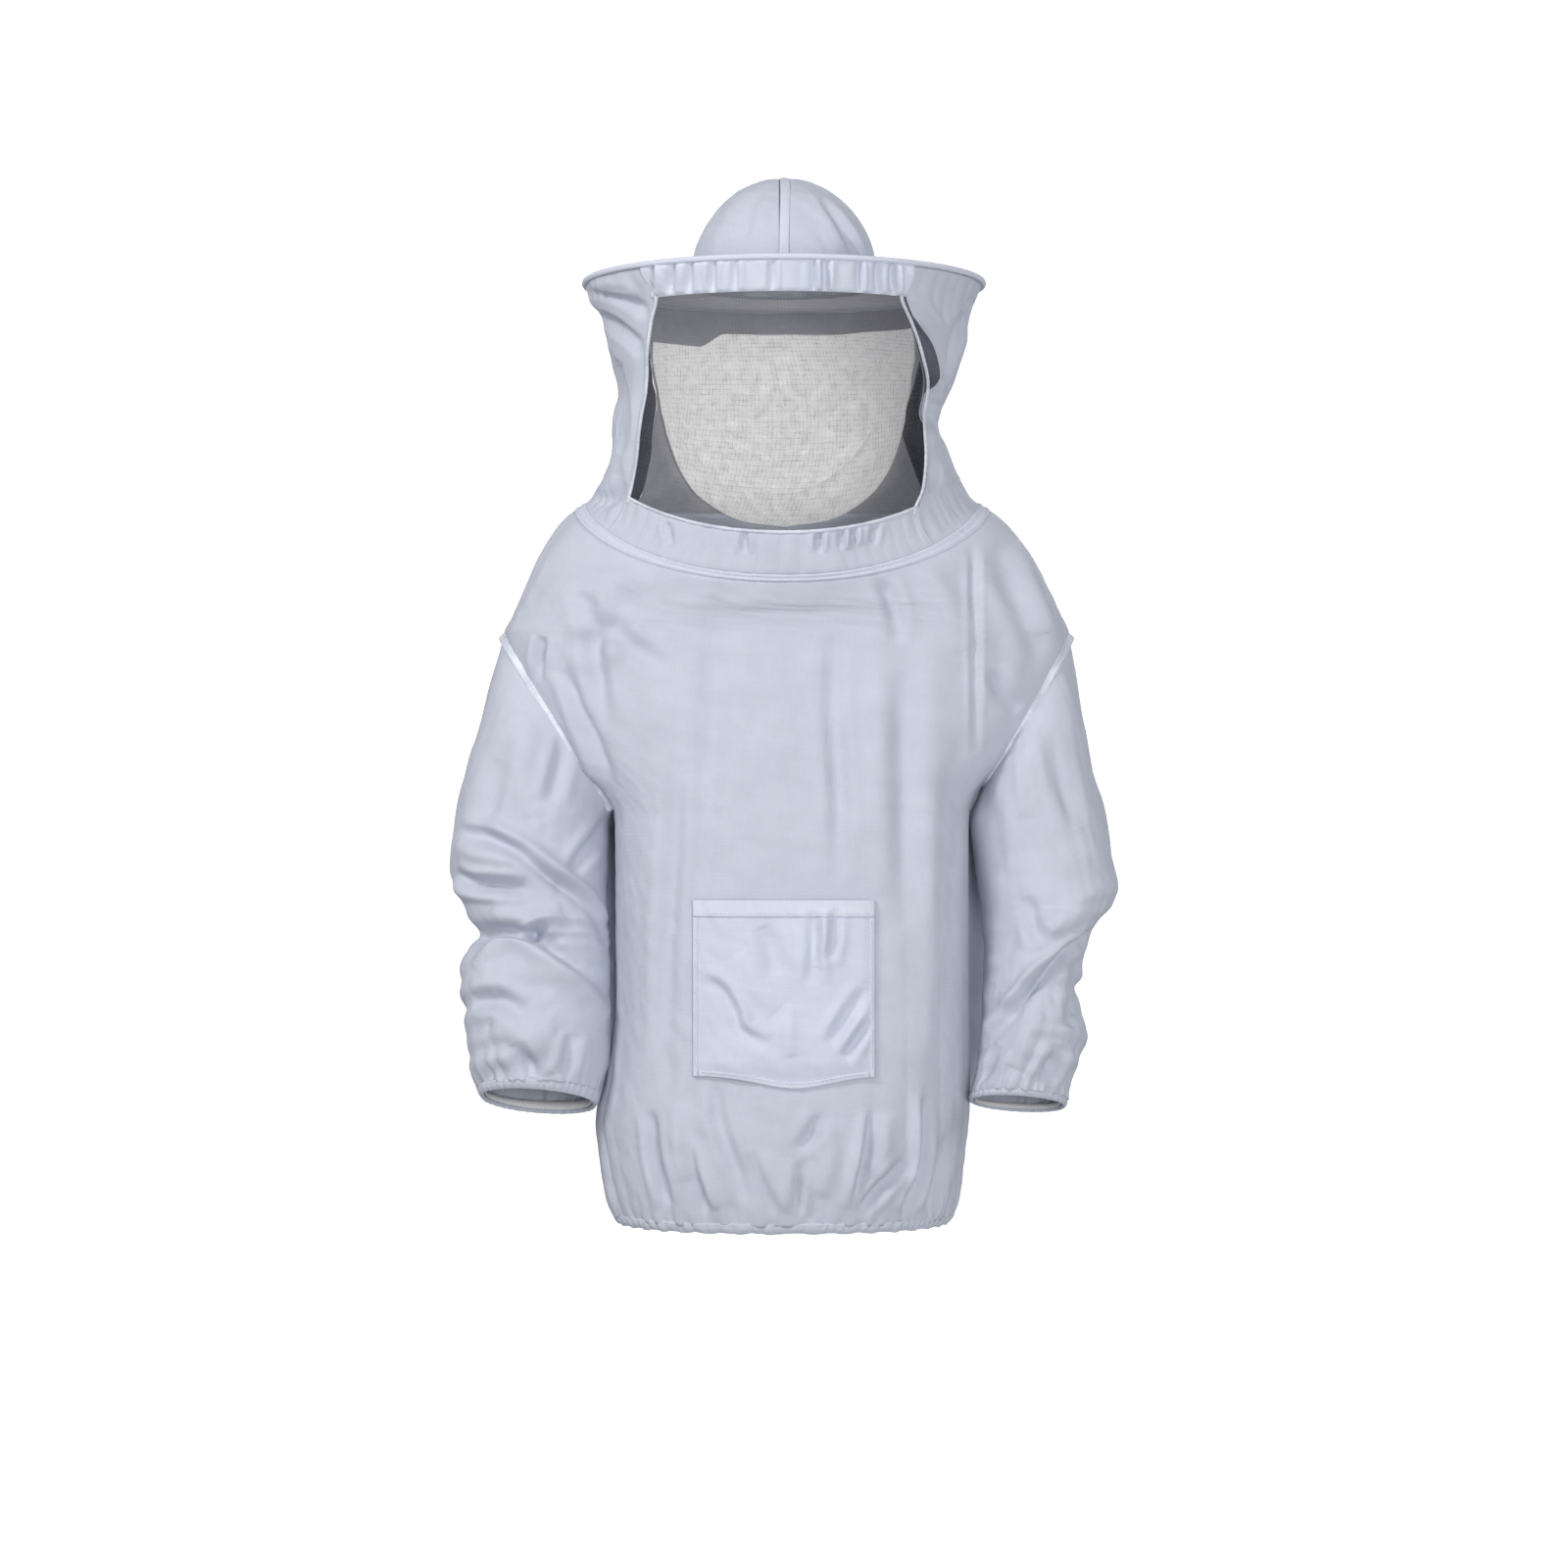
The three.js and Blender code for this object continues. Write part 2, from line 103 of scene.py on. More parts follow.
def addNode(tree, kind, settings=None, inputs=None):
    node = tree.nodes.new("ShaderNode" + kind)
    for key, value in (settings or {}).items():
        setattr(node, key, value)
    for key, value in (inputs or {}).items():
        if isinstance(value, bpy.types.NodeSocket):
            tree.links.new(value, node.inputs[key])
        else:
            node.inputs[key].default_value = value
    return node


def newMaterial(name):
    made = bpy.data.materials.new(name)
    made.use_nodes = True
    made.node_tree.nodes.clear()
    return made


def clothMaterial(name, look):
    # plain-woven cotton: threads both ways along the cut, thicker slubs here and there, a soft fibre sheen
    made = newMaterial(name)
    tree = made.node_tree
    place = addNode(tree, "UVMap", {"uv_map": "cut"}).outputs[0]
    slubs = []
    slubLong, slubThin = 1 / look["slubLength"], 1 / look["slubWidth"]
    for stretch in ((slubLong, slubThin, 1), (slubThin, slubLong, 1)):
        turned = addNode(tree, "Mapping", {}, {"Vector": place, "Scale": stretch}).outputs[0]
        slubs.append(addNode(tree, "TexNoise", {"noise_dimensions": "2D"}, {
            "Vector": turned, "Scale": 1.0, "Detail": 2.0, "Roughness": 0.6}).outputs["Fac"])
    slub = addNode(tree, "Math", {"operation": "ADD"}, {0: slubs[0], 1: slubs[1]}).outputs[0]
    threads = []
    for direction in ("X", "Y"):
        threads.append(addNode(tree, "TexWave", {"bands_direction": direction}, {
            "Vector": place, "Scale": 0.314 / look["thread"], "Distortion": 0.6,
            "Detail": 1.0, "Detail Scale": 1.5}).outputs["Fac"])
    weave = addNode(tree, "Math", {"operation": "MULTIPLY"}, {0: threads[0], 1: threads[1]}).outputs[0]
    patches = addNode(tree, "TexNoise", {"noise_dimensions": "2D"}, {
        "Vector": place, "Scale": 1 / look["patch"], "Detail": 3.0, "Roughness": 0.55}).outputs["Fac"]
    mottle = addNode(tree, "Math", {"operation": "MULTIPLY_ADD"}, {0: slub, 1: 0.5, 2: -0.5}).outputs[0]
    tone = addNode(tree, "Math", {"operation": "MULTIPLY_ADD"},
                   {0: mottle, 1: look["slubTone"], 2: patches}).outputs[0]
    colour = addNode(tree, "ValToRGB", {}, {"Fac": tone})
    low, high = colour.color_ramp.elements
    sharp = look.get("sharp", 0.0)
    low.position, low.color = 0.05 + sharp, linear(look["dark"])
    high.position, high.color = 0.95 - sharp, linear(look["light"])
    height = addNode(tree, "Math", {"operation": "MULTIPLY_ADD"},
                     {0: slub, 1: look["slubRise"], 2: weave}).outputs[0]
    bump = addNode(tree, "Bump", {}, {
        "Height": height, "Strength": look["bump"], "Distance": 0.0004}).outputs[0]
    # a look's painted glow makes the cloth emit its own colour: painted light that brightens it where the
    # lamps leave it in shade
    shader = addNode(tree, "BsdfPrincipled", {}, {
        "Base Color": colour.outputs[0], "Roughness": look["rough"], "Normal": bump,
        "Sheen Weight": look["sheen"], "Sheen Roughness": 0.45, "Specular IOR Level": 0.25,
        "Emission Color": colour.outputs[0], "Emission Strength": look.get("paintedGlow", 0.0)})
    addNode(tree, "OutputMaterial", {}, {"Surface": shader.outputs[0]})
    return made


def stripMaterial(name, look):
    # narrow woven strip: ribs across its length, a little fuzz, no gloss
    made = newMaterial(name)
    tree = made.node_tree
    place = addNode(tree, "TexCoord").outputs["Object"]
    grain = addNode(tree, "TexNoise", {},
                    {"Vector": place, "Scale": 1 / look["grain"], "Detail": 3.0}).outputs["Fac"]
    colour = addNode(tree, "ValToRGB", {}, {"Fac": grain})
    low, high = colour.color_ramp.elements
    low.position, low.color = 0.3, linear(look["dark"])
    high.position, high.color = 0.7, linear(look["light"])
    bump = addNode(tree, "Bump", {},
                   {"Height": grain, "Strength": look["bump"], "Distance": 0.0004}).outputs[0]
    shader = addNode(tree, "BsdfPrincipled", {}, {
        "Base Color": colour.outputs[0], "Roughness": look["rough"], "Metallic": look.get("metal", 0.0),
        "Normal": bump})
    addNode(tree, "OutputMaterial", {}, {"Surface": shader.outputs[0]})
    return made


# the real thread of such a poplin is about 0.3 mm, which wouldn't show, so it is drawn 1.3 mm apart
poplin = {"dark": "#C2C7D3", "light": "#CFD4E0", "thread": 0.0013, "slubLength": 0.03, "slubWidth": 0.0012,
          "patch": 0.045, "slubTone": 0.9, "slubRise": 0.8, "bump": 0.35, "rough": 0.88, "sheen": 0.12}
whitePoplin = clothMaterial("thinCottonPoplin", poplin)
pocketPoplin = clothMaterial("pocketPoplin", {**poplin, "dark": "#CCD2E0", "light": "#D9DEEB"})
doubledPoplin = clothMaterial("doubledCottonHem", {**poplin, "dark": "#D3D8E5", "light": "#E0E5F0"})
tapeTwill = clothMaterial("cottonTwillTape", {
    **poplin, "dark": "#C6CCD9", "light": "#EEF2FA", "thread": 0.0009, "patch": 0.03, "sharp": 0.24})
# the lining's own colour is off-white; its glow is painted light, brightening the inside of the hood that
# the brim and the veil keep in shade
liningCalico = clothMaterial("unbleachedCalicoLining", {
    **poplin, "dark": "#CFCECC", "light": "#FDFCFB", "thread": 0.0024, "patch": 0.011, "slubTone": 1.3,
    "slubLength": 0.012, "slubWidth": 0.002, "bump": 0.5, "sheen": 0.05, "paintedGlow": 0.3})
# the inside of the veil's back is painted grey: painted shade under the brim, lifted a little by a painted
# glow
veilBackPaintedShade = clothMaterial("veilBackInsidePaintedShade", {
    **poplin, "dark": "#8C8C93", "light": "#A5A5AB", "thread": 0.0016, "sheen": 0.05, "paintedGlow": 0.16})
# dark net colour darkened into painted shade, for the inside of the veil's sides and the slit beside the
# window, where the hood's inside lies in shadow
darkNetAndPaintedShade = clothMaterial("darkNetWithPaintedShade", {
    **poplin, "dark": "#4E5059", "light": "#73757F", "thread": 0.0016, "sheen": 0.05})
# the brim's underside is painted darker as painted shade, with a painted glow
brimUnder = clothMaterial("shadedCottonUnderBrim", {
    **poplin, "dark": "#A8A8B0", "light": "#BBBBC2", "paintedGlow": 0.14})
netThread = stripMaterial("blackPolyesterNetThread", {
    "dark": "#6C6D75", "light": "#84858D", "grain": 0.003, "bump": 0.1, "rough": 0.6})
knitElastic = stripMaterial("knittedElastic", {
    "dark": "#D8D8DA", "light": "#F0F0F1", "grain": 0.0015, "bump": 0.5, "rough": 0.85})
springWire = stripMaterial("drawnSpringSteel", {
    "dark": "#8C9094", "light": "#B4B7BA", "grain": 0.002, "bump": 0.05, "rough": 0.32, "metal": 1.0})
stiffFelt = stripMaterial("pressedInterlining", {
    "dark": "#C2C3C5", "light": "#DADBDD", "grain": 0.0012, "bump": 0.5, "rough": 0.8})
sewingThread = stripMaterial("twistedSewingThread", {
    "dark": "#BEC3CF", "light": "#E6EAF3", "grain": 0.001, "bump": 0.2, "rough": 0.6})
print("materials made")


# Surfaces

def smoothRows(rows, place):
    # a cubic curve through the rows [place, values...], each slope taken from the rows on both sides
    rows = np.asarray(rows, float)
    place = np.asarray(place, float)
    i = np.clip(np.searchsorted(rows[:, 0], place, side="right") - 1, 0, len(rows) - 2)
    before = rows[np.maximum(i - 1, 0)]
    a = rows[i]
    b = rows[i + 1]
    after = rows[np.minimum(i + 2, len(rows) - 1)]
    span = b[..., :1] - a[..., :1]
    t = np.clip((place[..., None] - a[..., :1]) / span, 0, 1)
    leave = (b - before) / (b[..., :1] - before[..., :1]) * span
    arrive = (after - a) / (after[..., :1] - a[..., :1]) * span
    curve = a + (b - a) * t * t * (3 - 2 * t) + leave * t * (1 - t) ** 2 - arrive * t * t * (1 - t)
    return curve[..., 1:]


def smoothStep(x, low, high):
    # rises from 0 at low to 1 at high, flat at both ends
    t = np.clip((x - low) / (high - low), 0, 1)
    return t * t * (3 - 2 * t)


levels = {"armpit": 420, "shoulder": 597, "neck": 728, "brim": 954, "veilFoot": 731, "veilTop": 951,
          "throatDip": 81}

# level, half width on the left and on the right, half depth, roundness
sections = [
    [0, 168, 167, 119, 2.4],
    [15, 176, 174, 125, 2.4],
    [45, 184, 179, 134, 2.4],
    [75, 189, 183, 139, 2.4],
    [105, 192, 187, 142, 2.4],
    [150, 181, 188, 142, 2.6],
    [210, 172, 187, 142, 2.9],
    [300, 171, 187, 142, 3.2],
    [390, 171, 187, 141, 3.4],
    [420, 174, 189, 140, 3.2],
    [440, 190, 199, 139, 2.9],
    [470, 222, 231, 137, 2.6],
    [510, 254, 262, 134, 2.5],
    [548, 273, 279, 130, 2.5],
    [597, 285, 290, 126, 2.5],
    [615, 277, 283, 127, 2.5],
    [645, 264, 269, 129, 2.4],
    [675, 251, 254, 132, 2.3],
    [705, 233, 232, 136, 2.2],
    [720, 219, 216, 139, 2.2],
    [735, 198, 193, 143, 2.15],
    [750, 187, 183, 146, 2.1],
    [780, 178, 169, 151, 2.1],
    [795, 175, 163, 154, 2.1],
    [810, 174, 157, 157, 2.1],
    [825, 172, 156, 159, 2.1],
    [840, 169, 162, 163, 2.1],
    [855, 170, 169, 168, 2.1],
    [870, 174, 174, 173, 2.1],
    [900, 180, 184, 183, 2.05],
    [930, 190, 192, 194, 2],
    [945, 200, 198, 199, 2],
    [954, 203, 202, 202, 2],
]


def throatDip(u, level):
    # how far the throat pulls a level down: all of it at the neck seam, none at the chest or the brim
    below = smoothStep(level, levels["neck"] - 140, levels["neck"])
    above = 1 - smoothStep(level, levels["neck"], levels["neck"] + 160)
    share = np.where(level < levels["neck"], below, above)
    return levels["throatDip"] * np.maximum(np.cos(u), 0) ** 1.3 * share


def garment(u, level, inset=0.0):
    # a superellipse for each level: x = half width by sin u to 2/power,
    # y = minus half depth by cos u to 2/power
    u, level = np.broadcast_arrays(np.asarray(u, float), np.asarray(level, float))
    row = smoothRows(sections, level)
    wide = np.where(np.sin(u) < 0, row[..., 0], row[..., 1])
    # behind the sleeves the sides billow a little
    behind = np.maximum(-np.cos(u), 0) * np.abs(np.sin(u)) ** 6 * 4.2
    lower = smoothStep(level, 100, 180) * (1 - smoothStep(level, 395, 432))
    wide = wide + np.where(np.sin(u) < 0, 24, 34) * behind * lower
    power = row[..., 3]
    x = (wide - inset) * np.sign(np.sin(u)) * np.abs(np.sin(u)) ** (2 / power)
    y = -(row[..., 2] - inset) * np.sign(np.cos(u)) * np.abs(np.cos(u)) ** (2 / power)
    return np.stack([x, y, level - throatDip(u, level)], axis=-1)


def garmentNormal(u, level):
    # cross product of the surface's own slopes, a small step each way
    across = garment(u + 0.004, level) - garment(u - 0.004, level)
    up = garment(u, level + 0.6) - garment(u, level - 0.6)
    normal = np.cross(across, up)
    return normal / np.maximum(np.linalg.norm(normal, axis=-1, keepdims=True), 1e-9)


def normalsOf(grid, wrap, centre):
    # cross product of the two directions of the grid, turned away from the centre line
    across = np.gradient(grid, axis=1)
    if wrap:
        across = (np.roll(grid, -1, axis=1) - np.roll(grid, 1, axis=1)) / 2
    along = np.gradient(grid, axis=0)
    normal = np.cross(across, along)
    normal /= np.maximum(np.linalg.norm(normal, axis=-1, keepdims=True), 1e-9)
    outward = ((grid - centre) * normal).sum(-1)
    return normal if outward.sum() > 0 else -normal


def arcLengths(grid, wrap):
    # how far each vertex lies along the cloth, across and up, in metres
    across = np.linalg.norm(np.diff(grid, axis=1), axis=-1).mean(0)
    up = np.linalg.norm(np.diff(grid, axis=0), axis=-1).mean(1)
    a = np.concatenate([[0], np.cumsum(across)])
    b = np.concatenate([[0], np.cumsum(up)])
    if wrap:
        a = np.append(a, 2 * a[-1] - a[-2])
    return a * mm, b * mm


def buildMesh(name, points, quads, materials, cutPlace=None, faceMaterial=None, flip=None):
    # points in mm from the hem; faces are turned outwards by the sign of the enclosed volume
    corners = np.asarray(points)[quads]
    a, b, c, d = (corners[:, i] for i in range(4))
    volume = (a * np.cross(b, c)).sum() + (a * np.cross(c, d)).sum()
    turned = volume < 0 if flip is None else flip
    if turned:
        quads = quads[:, ::-1]
        cutPlace = None if cutPlace is None else cutPlace[:, ::-1]
    mesh = bpy.data.meshes.new(name)
    mesh.vertices.add(len(points))
    mesh.vertices.foreach_set("co", toMetres(points).astype(np.float32).ravel())
    mesh.loops.add(quads.size)
    mesh.loops.foreach_set("vertex_index", quads.astype(np.int32).ravel())
    mesh.polygons.add(len(quads))
    mesh.polygons.foreach_set("loop_start", np.arange(0, quads.size, 4, dtype=np.int32))
    mesh.polygons.foreach_set("use_smooth", np.ones(len(quads), bool))
    for material in materials:
        mesh.materials.append(material)
    if faceMaterial is not None:
        mesh.polygons.foreach_set("material_index", faceMaterial.astype(np.int32))
    if cutPlace is not None:
        layer = mesh.uv_layers.new(name="cut")
        layer.data.foreach_set("uv", cutPlace.astype(np.float32).ravel())
    mesh.update(calc_edges=True)
    made = bpy.data.objects.new(name, mesh)
    bpy.context.scene.collection.objects.link(made)
    return made


def gridFaces(rows, columns, spans):
    # the quads of a grid row by row, and the row and column of each one's first corner
    r, c = np.meshgrid(np.arange(rows - 1), np.arange(spans), indexing="ij")
    r, c = r.ravel(), c.ravel()
    after = (c + 1) % columns
    first, second = r * columns, (r + 1) * columns
    return r, c, np.stack([first + c, first + after, second + after, second + c], 1)


def gridPlaces(r, c, a, b):
    # the same quads laid flat: arc length a along the columns and b along the rows
    return np.stack([np.stack([a[c], b[r]], 1), np.stack([a[c + 1], b[r]], 1),
                     np.stack([a[c + 1], b[r + 1]], 1), np.stack([a[c], b[r + 1]], 1)], 1)


def clothPiece(name, grid, wall, materials, centre, wrap=False, normal=None):
    # a closed thin wall: the grid outside, the same grid one wall further in, and the edges between them
    rows, columns, _ = grid.shape
    normal = normalsOf(grid, wrap, centre) if normal is None else normal
    inner = grid - normal * wall
    points = np.concatenate([grid.reshape(-1, 3), inner.reshape(-1, 3)])
    spans = columns if wrap else columns - 1
    r, c, outside = gridFaces(rows, columns, spans)
    shift = rows * columns
    sheet = gridPlaces(r, c, *arcLengths(grid, wrap))
    quads = [outside, outside[:, ::-1] + shift]
    places = [sheet, sheet[:, ::-1]]
    faceMaterial = [np.zeros(len(outside)), np.full(len(outside), len(materials) - 1)]
    k = np.arange(spans)
    nextK = (k + 1) % columns
    last = (rows - 1) * columns
    rims = [np.stack([nextK, k, k + shift, nextK + shift], 1),
            np.stack([last + k, last + nextK, last + nextK + shift, last + k + shift], 1)]
    if not wrap:
        j = np.arange(rows - 1) * columns
        rims.append(np.stack([j, j + columns, j + columns + shift, j + shift], 1))
        e = j + columns - 1
        rims.append(np.stack([e + columns, e, e + shift, e + columns + shift], 1))
    for rim in rims:
        quads.append(rim)
        places.append(np.zeros((len(rim), 4, 2)))
        faceMaterial.append(np.zeros(len(rim)))
    area = gridArea(grid, wrap)
    made = buildMesh(name, points, np.concatenate(quads), materials, np.concatenate(places),
                     np.concatenate(faceMaterial))
    return made, area


# real stitches are 0.3 mm thick and 2.5 mm long, drawn a little coarser to show
stitch = {"length": 3.0, "between": 1.4, "radius": 0.4}


def stitchRow(name, path, normal, body, closed=False):
    # stitches laid end to end along a path: each is a spindle of four rings of four corners,
    # half sunk in the cloth
    if closed:
        path, normal = np.concatenate([path, path[:1]]), np.concatenate([normal, normal[:1]])
    along = np.concatenate([[0], np.cumsum(np.linalg.norm(np.diff(path, axis=0), axis=1))])
    starts = np.arange(stitch["between"], along[-1] - stitch["length"], stitch["length"] + stitch["between"])
    places = starts[:, None] + np.linspace(0, 1, 4) * stitch["length"]
    middle = np.stack([np.interp(places, along, path[:, k]) for k in range(3)], -1)
    up = np.stack([np.interp(places, along, normal[:, k]) for k in range(3)], -1)
    ahead = middle[:, -1:] - middle[:, :1]
    side = np.cross(up, ahead)
    side /= np.linalg.norm(side, axis=-1, keepdims=True)
    turn = np.arange(4) * math.pi / 2
    reach = stitch["radius"] * np.array([0.4, 1.0, 1.0, 0.4])[None, :, None, None]
    ring = up[:, :, None] * np.cos(turn)[:, None] + side[:, :, None] * np.sin(turn)[:, None]
    points = (middle[:, :, None] + reach * (ring + 0.35 * up[:, :, None])).reshape(-1, 3)
    corner = np.arange(4)
    ringQuads = [np.stack([4 * r + corner, 4 * r + (corner + 1) % 4, 4 * r + 4 + (corner + 1) % 4,
                           4 * r + 4 + corner], 1)
                 for r in range(3)]
    one = np.concatenate(ringQuads + [np.array([[3, 2, 1, 0], [12, 13, 14, 15]])])
    quads = (np.arange(len(starts))[:, None, None] * 16 + one[None]).reshape(-1, 4)
    made = buildMesh(name, points, quads, [sewingThread])
    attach(made, body)


def gridArea(grid, wrap):
    # half the cross product of each quad's diagonals, in square metres
    closed = np.concatenate([grid, grid[:, :1]], axis=1) if wrap else grid
    first = closed[1:, 1:] - closed[:-1, :-1]
    second = closed[1:, :-1] - closed[:-1, 1:]
    return float(np.linalg.norm(np.cross(first, second), axis=-1).sum() / 2 * mm * mm)


# Folds

def ripples(a, b, count, shortest, longest, lean, seed):
    # a sum of seeded cosine waves over the cloth; lean 0 runs them along b, 1 along a
    rng = np.random.default_rng(seed)
    made = np.zeros(np.broadcast(a, b).shape)
    for _ in range(count):
        length = shortest * (longest / shortest) ** rng.random()
        angle = (rng.random() - 0.5) * 1.1 + lean * math.pi / 2
        phase = rng.random() * 2 * math.pi
        travel = a * math.cos(angle) + b * math.sin(angle)
        made += length / longest * np.cos(2 * math.pi * travel / length + phase)
    return made / math.sqrt(count)


def seenFromFront(points):
    # where each point lies on the plane of the wearer's shoulders as the camera sees it, in mm
    distance = studio["distance"] / mm
    eye = (studio["height"] - hemZ) / mm
    scale = distance / (distance + points[..., 1])
    return points[..., 0] * scale, eye + (points[..., 2] - eye) * scale


def routeOf(points, spans=8):
    # a smooth curve through the crease's points
    points = np.asarray(points, float)
    rows = np.concatenate([np.arange(len(points))[:, None], points], axis=1)
    return smoothRows(rows, np.linspace(0, len(points) - 1, spans * (len(points) - 1) + 1))


def creases(x, z, table):
    # each crease: kind, depth, width and the points it runs through. Nearest distance s to its route gives
    # a valley -exp(-s*s) with a low ridge on both sides, a ridge, or a step: s*exp(-s*s),
    # high on its left side
    made = np.zeros(x.shape)
    for kind, depth, width, *points in table:
        route = routeOf(points)
        reach = 4 * width
        box = ((x > route[:, 0].min() - reach) & (x < route[:, 0].max() + reach)
               & (z > route[:, 1].min() - reach) & (z < route[:, 1].max() + reach))
        px, pz = x[box], z[box]
        best = np.full(px.shape, 1e9)
        side = np.zeros(px.shape)
        place = np.zeros(px.shape)
        for i in range(len(route) - 1):
            ax, az = route[i]
            dx, dz = route[i + 1] - route[i]
            t = np.clip(((px - ax) * dx + (pz - az) * dz) / (dx * dx + dz * dz + 1e-9), 0, 1)
            ox, oz = px - ax - t * dx, pz - az - t * dz
            far = np.hypot(ox, oz)
            nearer = far < best
            best = np.where(nearer, far, best)
            side = np.where(nearer, np.sign(dx * oz - dz * ox), side)
            place = np.where(nearer, (i + t) / (len(route) - 1), place)
        s = side * best / width
        taper = np.clip(np.sin(np.pi * np.clip(place, 0.001, 0.999)), 0, 1) ** 0.55
        if kind == "valley":
            shape = -np.exp(-s * s) + 0.45 * np.exp(-((np.abs(s) - 1.7) ** 2) * 1.3)
        elif kind == "ridge":
            shape = np.exp(-s * s * 0.8)
        else:
            shape = 1.65 * s * np.exp(-s * s)
        made[box] += foldDepth * depth * taper * shape * np.exp(-(np.maximum(best / width - 2.5, 0) ** 2))
    return made


def gathers(a, height, spacing, rise, length, seed, lean=0.0):
    # cloth drawn onto an elastic: rounded ridges between sharp valleys at uneven places, dying out upwards
    rng = np.random.default_rng(seed)
    low, high = float(a.min()) - 3 * spacing, float(a.max()) + 3 * spacing
    places = low + np.cumsum(spacing * (0.55 + 0.9 * rng.random(int((high - low) / spacing) + 8)))
    rises = rise * (0.35 + 0.95 * rng.random(len(places)))
    lengths = length * (0.5 + 1.1 * rng.random(len(places)))
    moved = a + lean * height
    k = np.clip(np.searchsorted(places, moved) - 1, 0, len(places) - 2)
    share = np.clip((moved - places[k]) / (places[k + 1] - places[k]), 0, 1)
    ridge = np.sin(np.pi * share) ** 0.8 - 0.5
    return rises[k] * ridge * np.exp(-np.maximum(height, 0) / lengths[k])


def shifted(grid, normal, amount):
    return grid + normal * amount[..., None]


# Body of the smock

armhole = {"outward": {-1: 285, 1: 290}, "inward": {-1: 172, 1: 188}}


def armholePlane(side, level):
    # distance of the armhole's plane from the middle plane, a straight line from armpit to shoulder
    share = (level - levels["armpit"]) / (levels["shoulder"] - levels["armpit"])
    return armhole["inward"][side] + share * (armhole["outward"][side] - armhole["inward"][side])


def sideLimit(side, level):
    # the angle at which a body panel ends: the side seam, or the armhole between armpit and shoulder
    row = smoothRows(sections, level)
    wide = row[..., 0] if side < 0 else row[..., 1]
    share = np.clip(armholePlane(side, level) / wide, 0, 1)
    inHole = (level >= levels["armpit"]) & (level <= levels["shoulder"])
    return np.where(inHole, np.arcsin(share ** (row[..., 3] / 2)), math.pi / 2)


# kind, depth, width, then points [x, level] on the plane of the shoulders
frontCreases = [
    ["valley", 2.4, 4, [193, 700], [194, 640], [195, 560], [196, 476]],
    ["step", 1.2, 14, [194, 705], [195, 640], [196, 560], [197, 470]],
    ["valley", 3.0, 9, [52, 600], [50, 520], [56, 430], [54, 345]],
    ["ridge", 2.6, 16, [95, 640], [97, 520], [92, 420], [96, 330]],
    ["valley", 2.0, 14, [-70, 640], [-72, 520], [-80, 400]],
    ["ridge", 2.0, 18, [-125, 610], [-130, 480], [-134, 330], [-136, 120]],
    ["valley", 2.4, 9, [-108, 470], [-112, 380], [-118, 260], [-120, 120]],
    ["valley", 2.2, 12, [118, 560], [122, 430], [126, 300]],
    ["ridge", 2.2, 12, [150, 620], [152, 460], [150, 300], [148, 160]],
    ["valley", 3.5, 5, [-247, 596], [-249, 575], [-250, 552]],
    ["valley", 4.0, 10, [-206, 640], [-196, 600], [-190, 560], [-182, 500]],
    ["step", -4.5, 9, [-230, 560], [-214, 520], [-196, 478], [-180, 430]],
    ["valley", 3.0, 12, [-150, 640], [-170, 610], [-196, 590], [-222, 590]],
    ["ridge", 3.0, 14, [-130, 650], [-160, 655], [-200, 650], [-240, 630]],
    ["valley", 2.4, 10, [-120, 560], [-160, 590], [-200, 620]],
    ["valley", 3.0, 8, [95, 660], [110, 630], [118, 590]],
    ["ridge", 2.4, 12, [130, 680], [160, 640], [185, 580]],
    ["valley", 2.5, 12, [215, 690], [235, 640], [252, 600], [262, 560]],
    ["ridge", 2.2, 10, [235, 690], [254, 640], [270, 600]],
    ["valley", 2.5, 9, [210, 560], [222, 540], [240, 520]],
    # folds drawn up from the hem
    ["valley", 4.5, 6, [-136, 110], [-132, 70], [-124, 36], [-117, 14]],
    ["step", 4.0, 7, [-96, 80], [-88, 48], [-78, 22], [-72, 10]],
    ["valley", 2.8, 7, [-70, 140], [-66, 100], [-52, 60], [-36, 20]],
    ["step", 3.5, 8, [-30, 70], [-20, 44], [-10, 22], [-4, 8]],
    ["valley", 3.2, 7, [38, 108], [28, 88], [16, 70]],
    ["valley", 4.5, 5, [17, 60], [15, 30], [13, 6]],
    ["step", -5.5, 6, [86, 112], [80, 70], [74, 44], [66, 12]],
    ["valley", 4.0, 6, [122, 60], [108, 44], [92, 26], [74, 6]],
    ["step", -5.0, 6, [140, 128], [139, 84], [134, 46], [118, 8]],
    ["valley", 3.6, 6, [166, 90], [160, 52], [150, 20], [144, 6]],
    ["ridge", 3.0, 9, [-110, 120], [-108, 80], [-100, 40]],
    ["ridge", 3.0, 9, [50, 100], [46, 60], [38, 24]],
    ["ridge", 3.0, 9, [104, 110], [100, 70], [92, 44]],
]
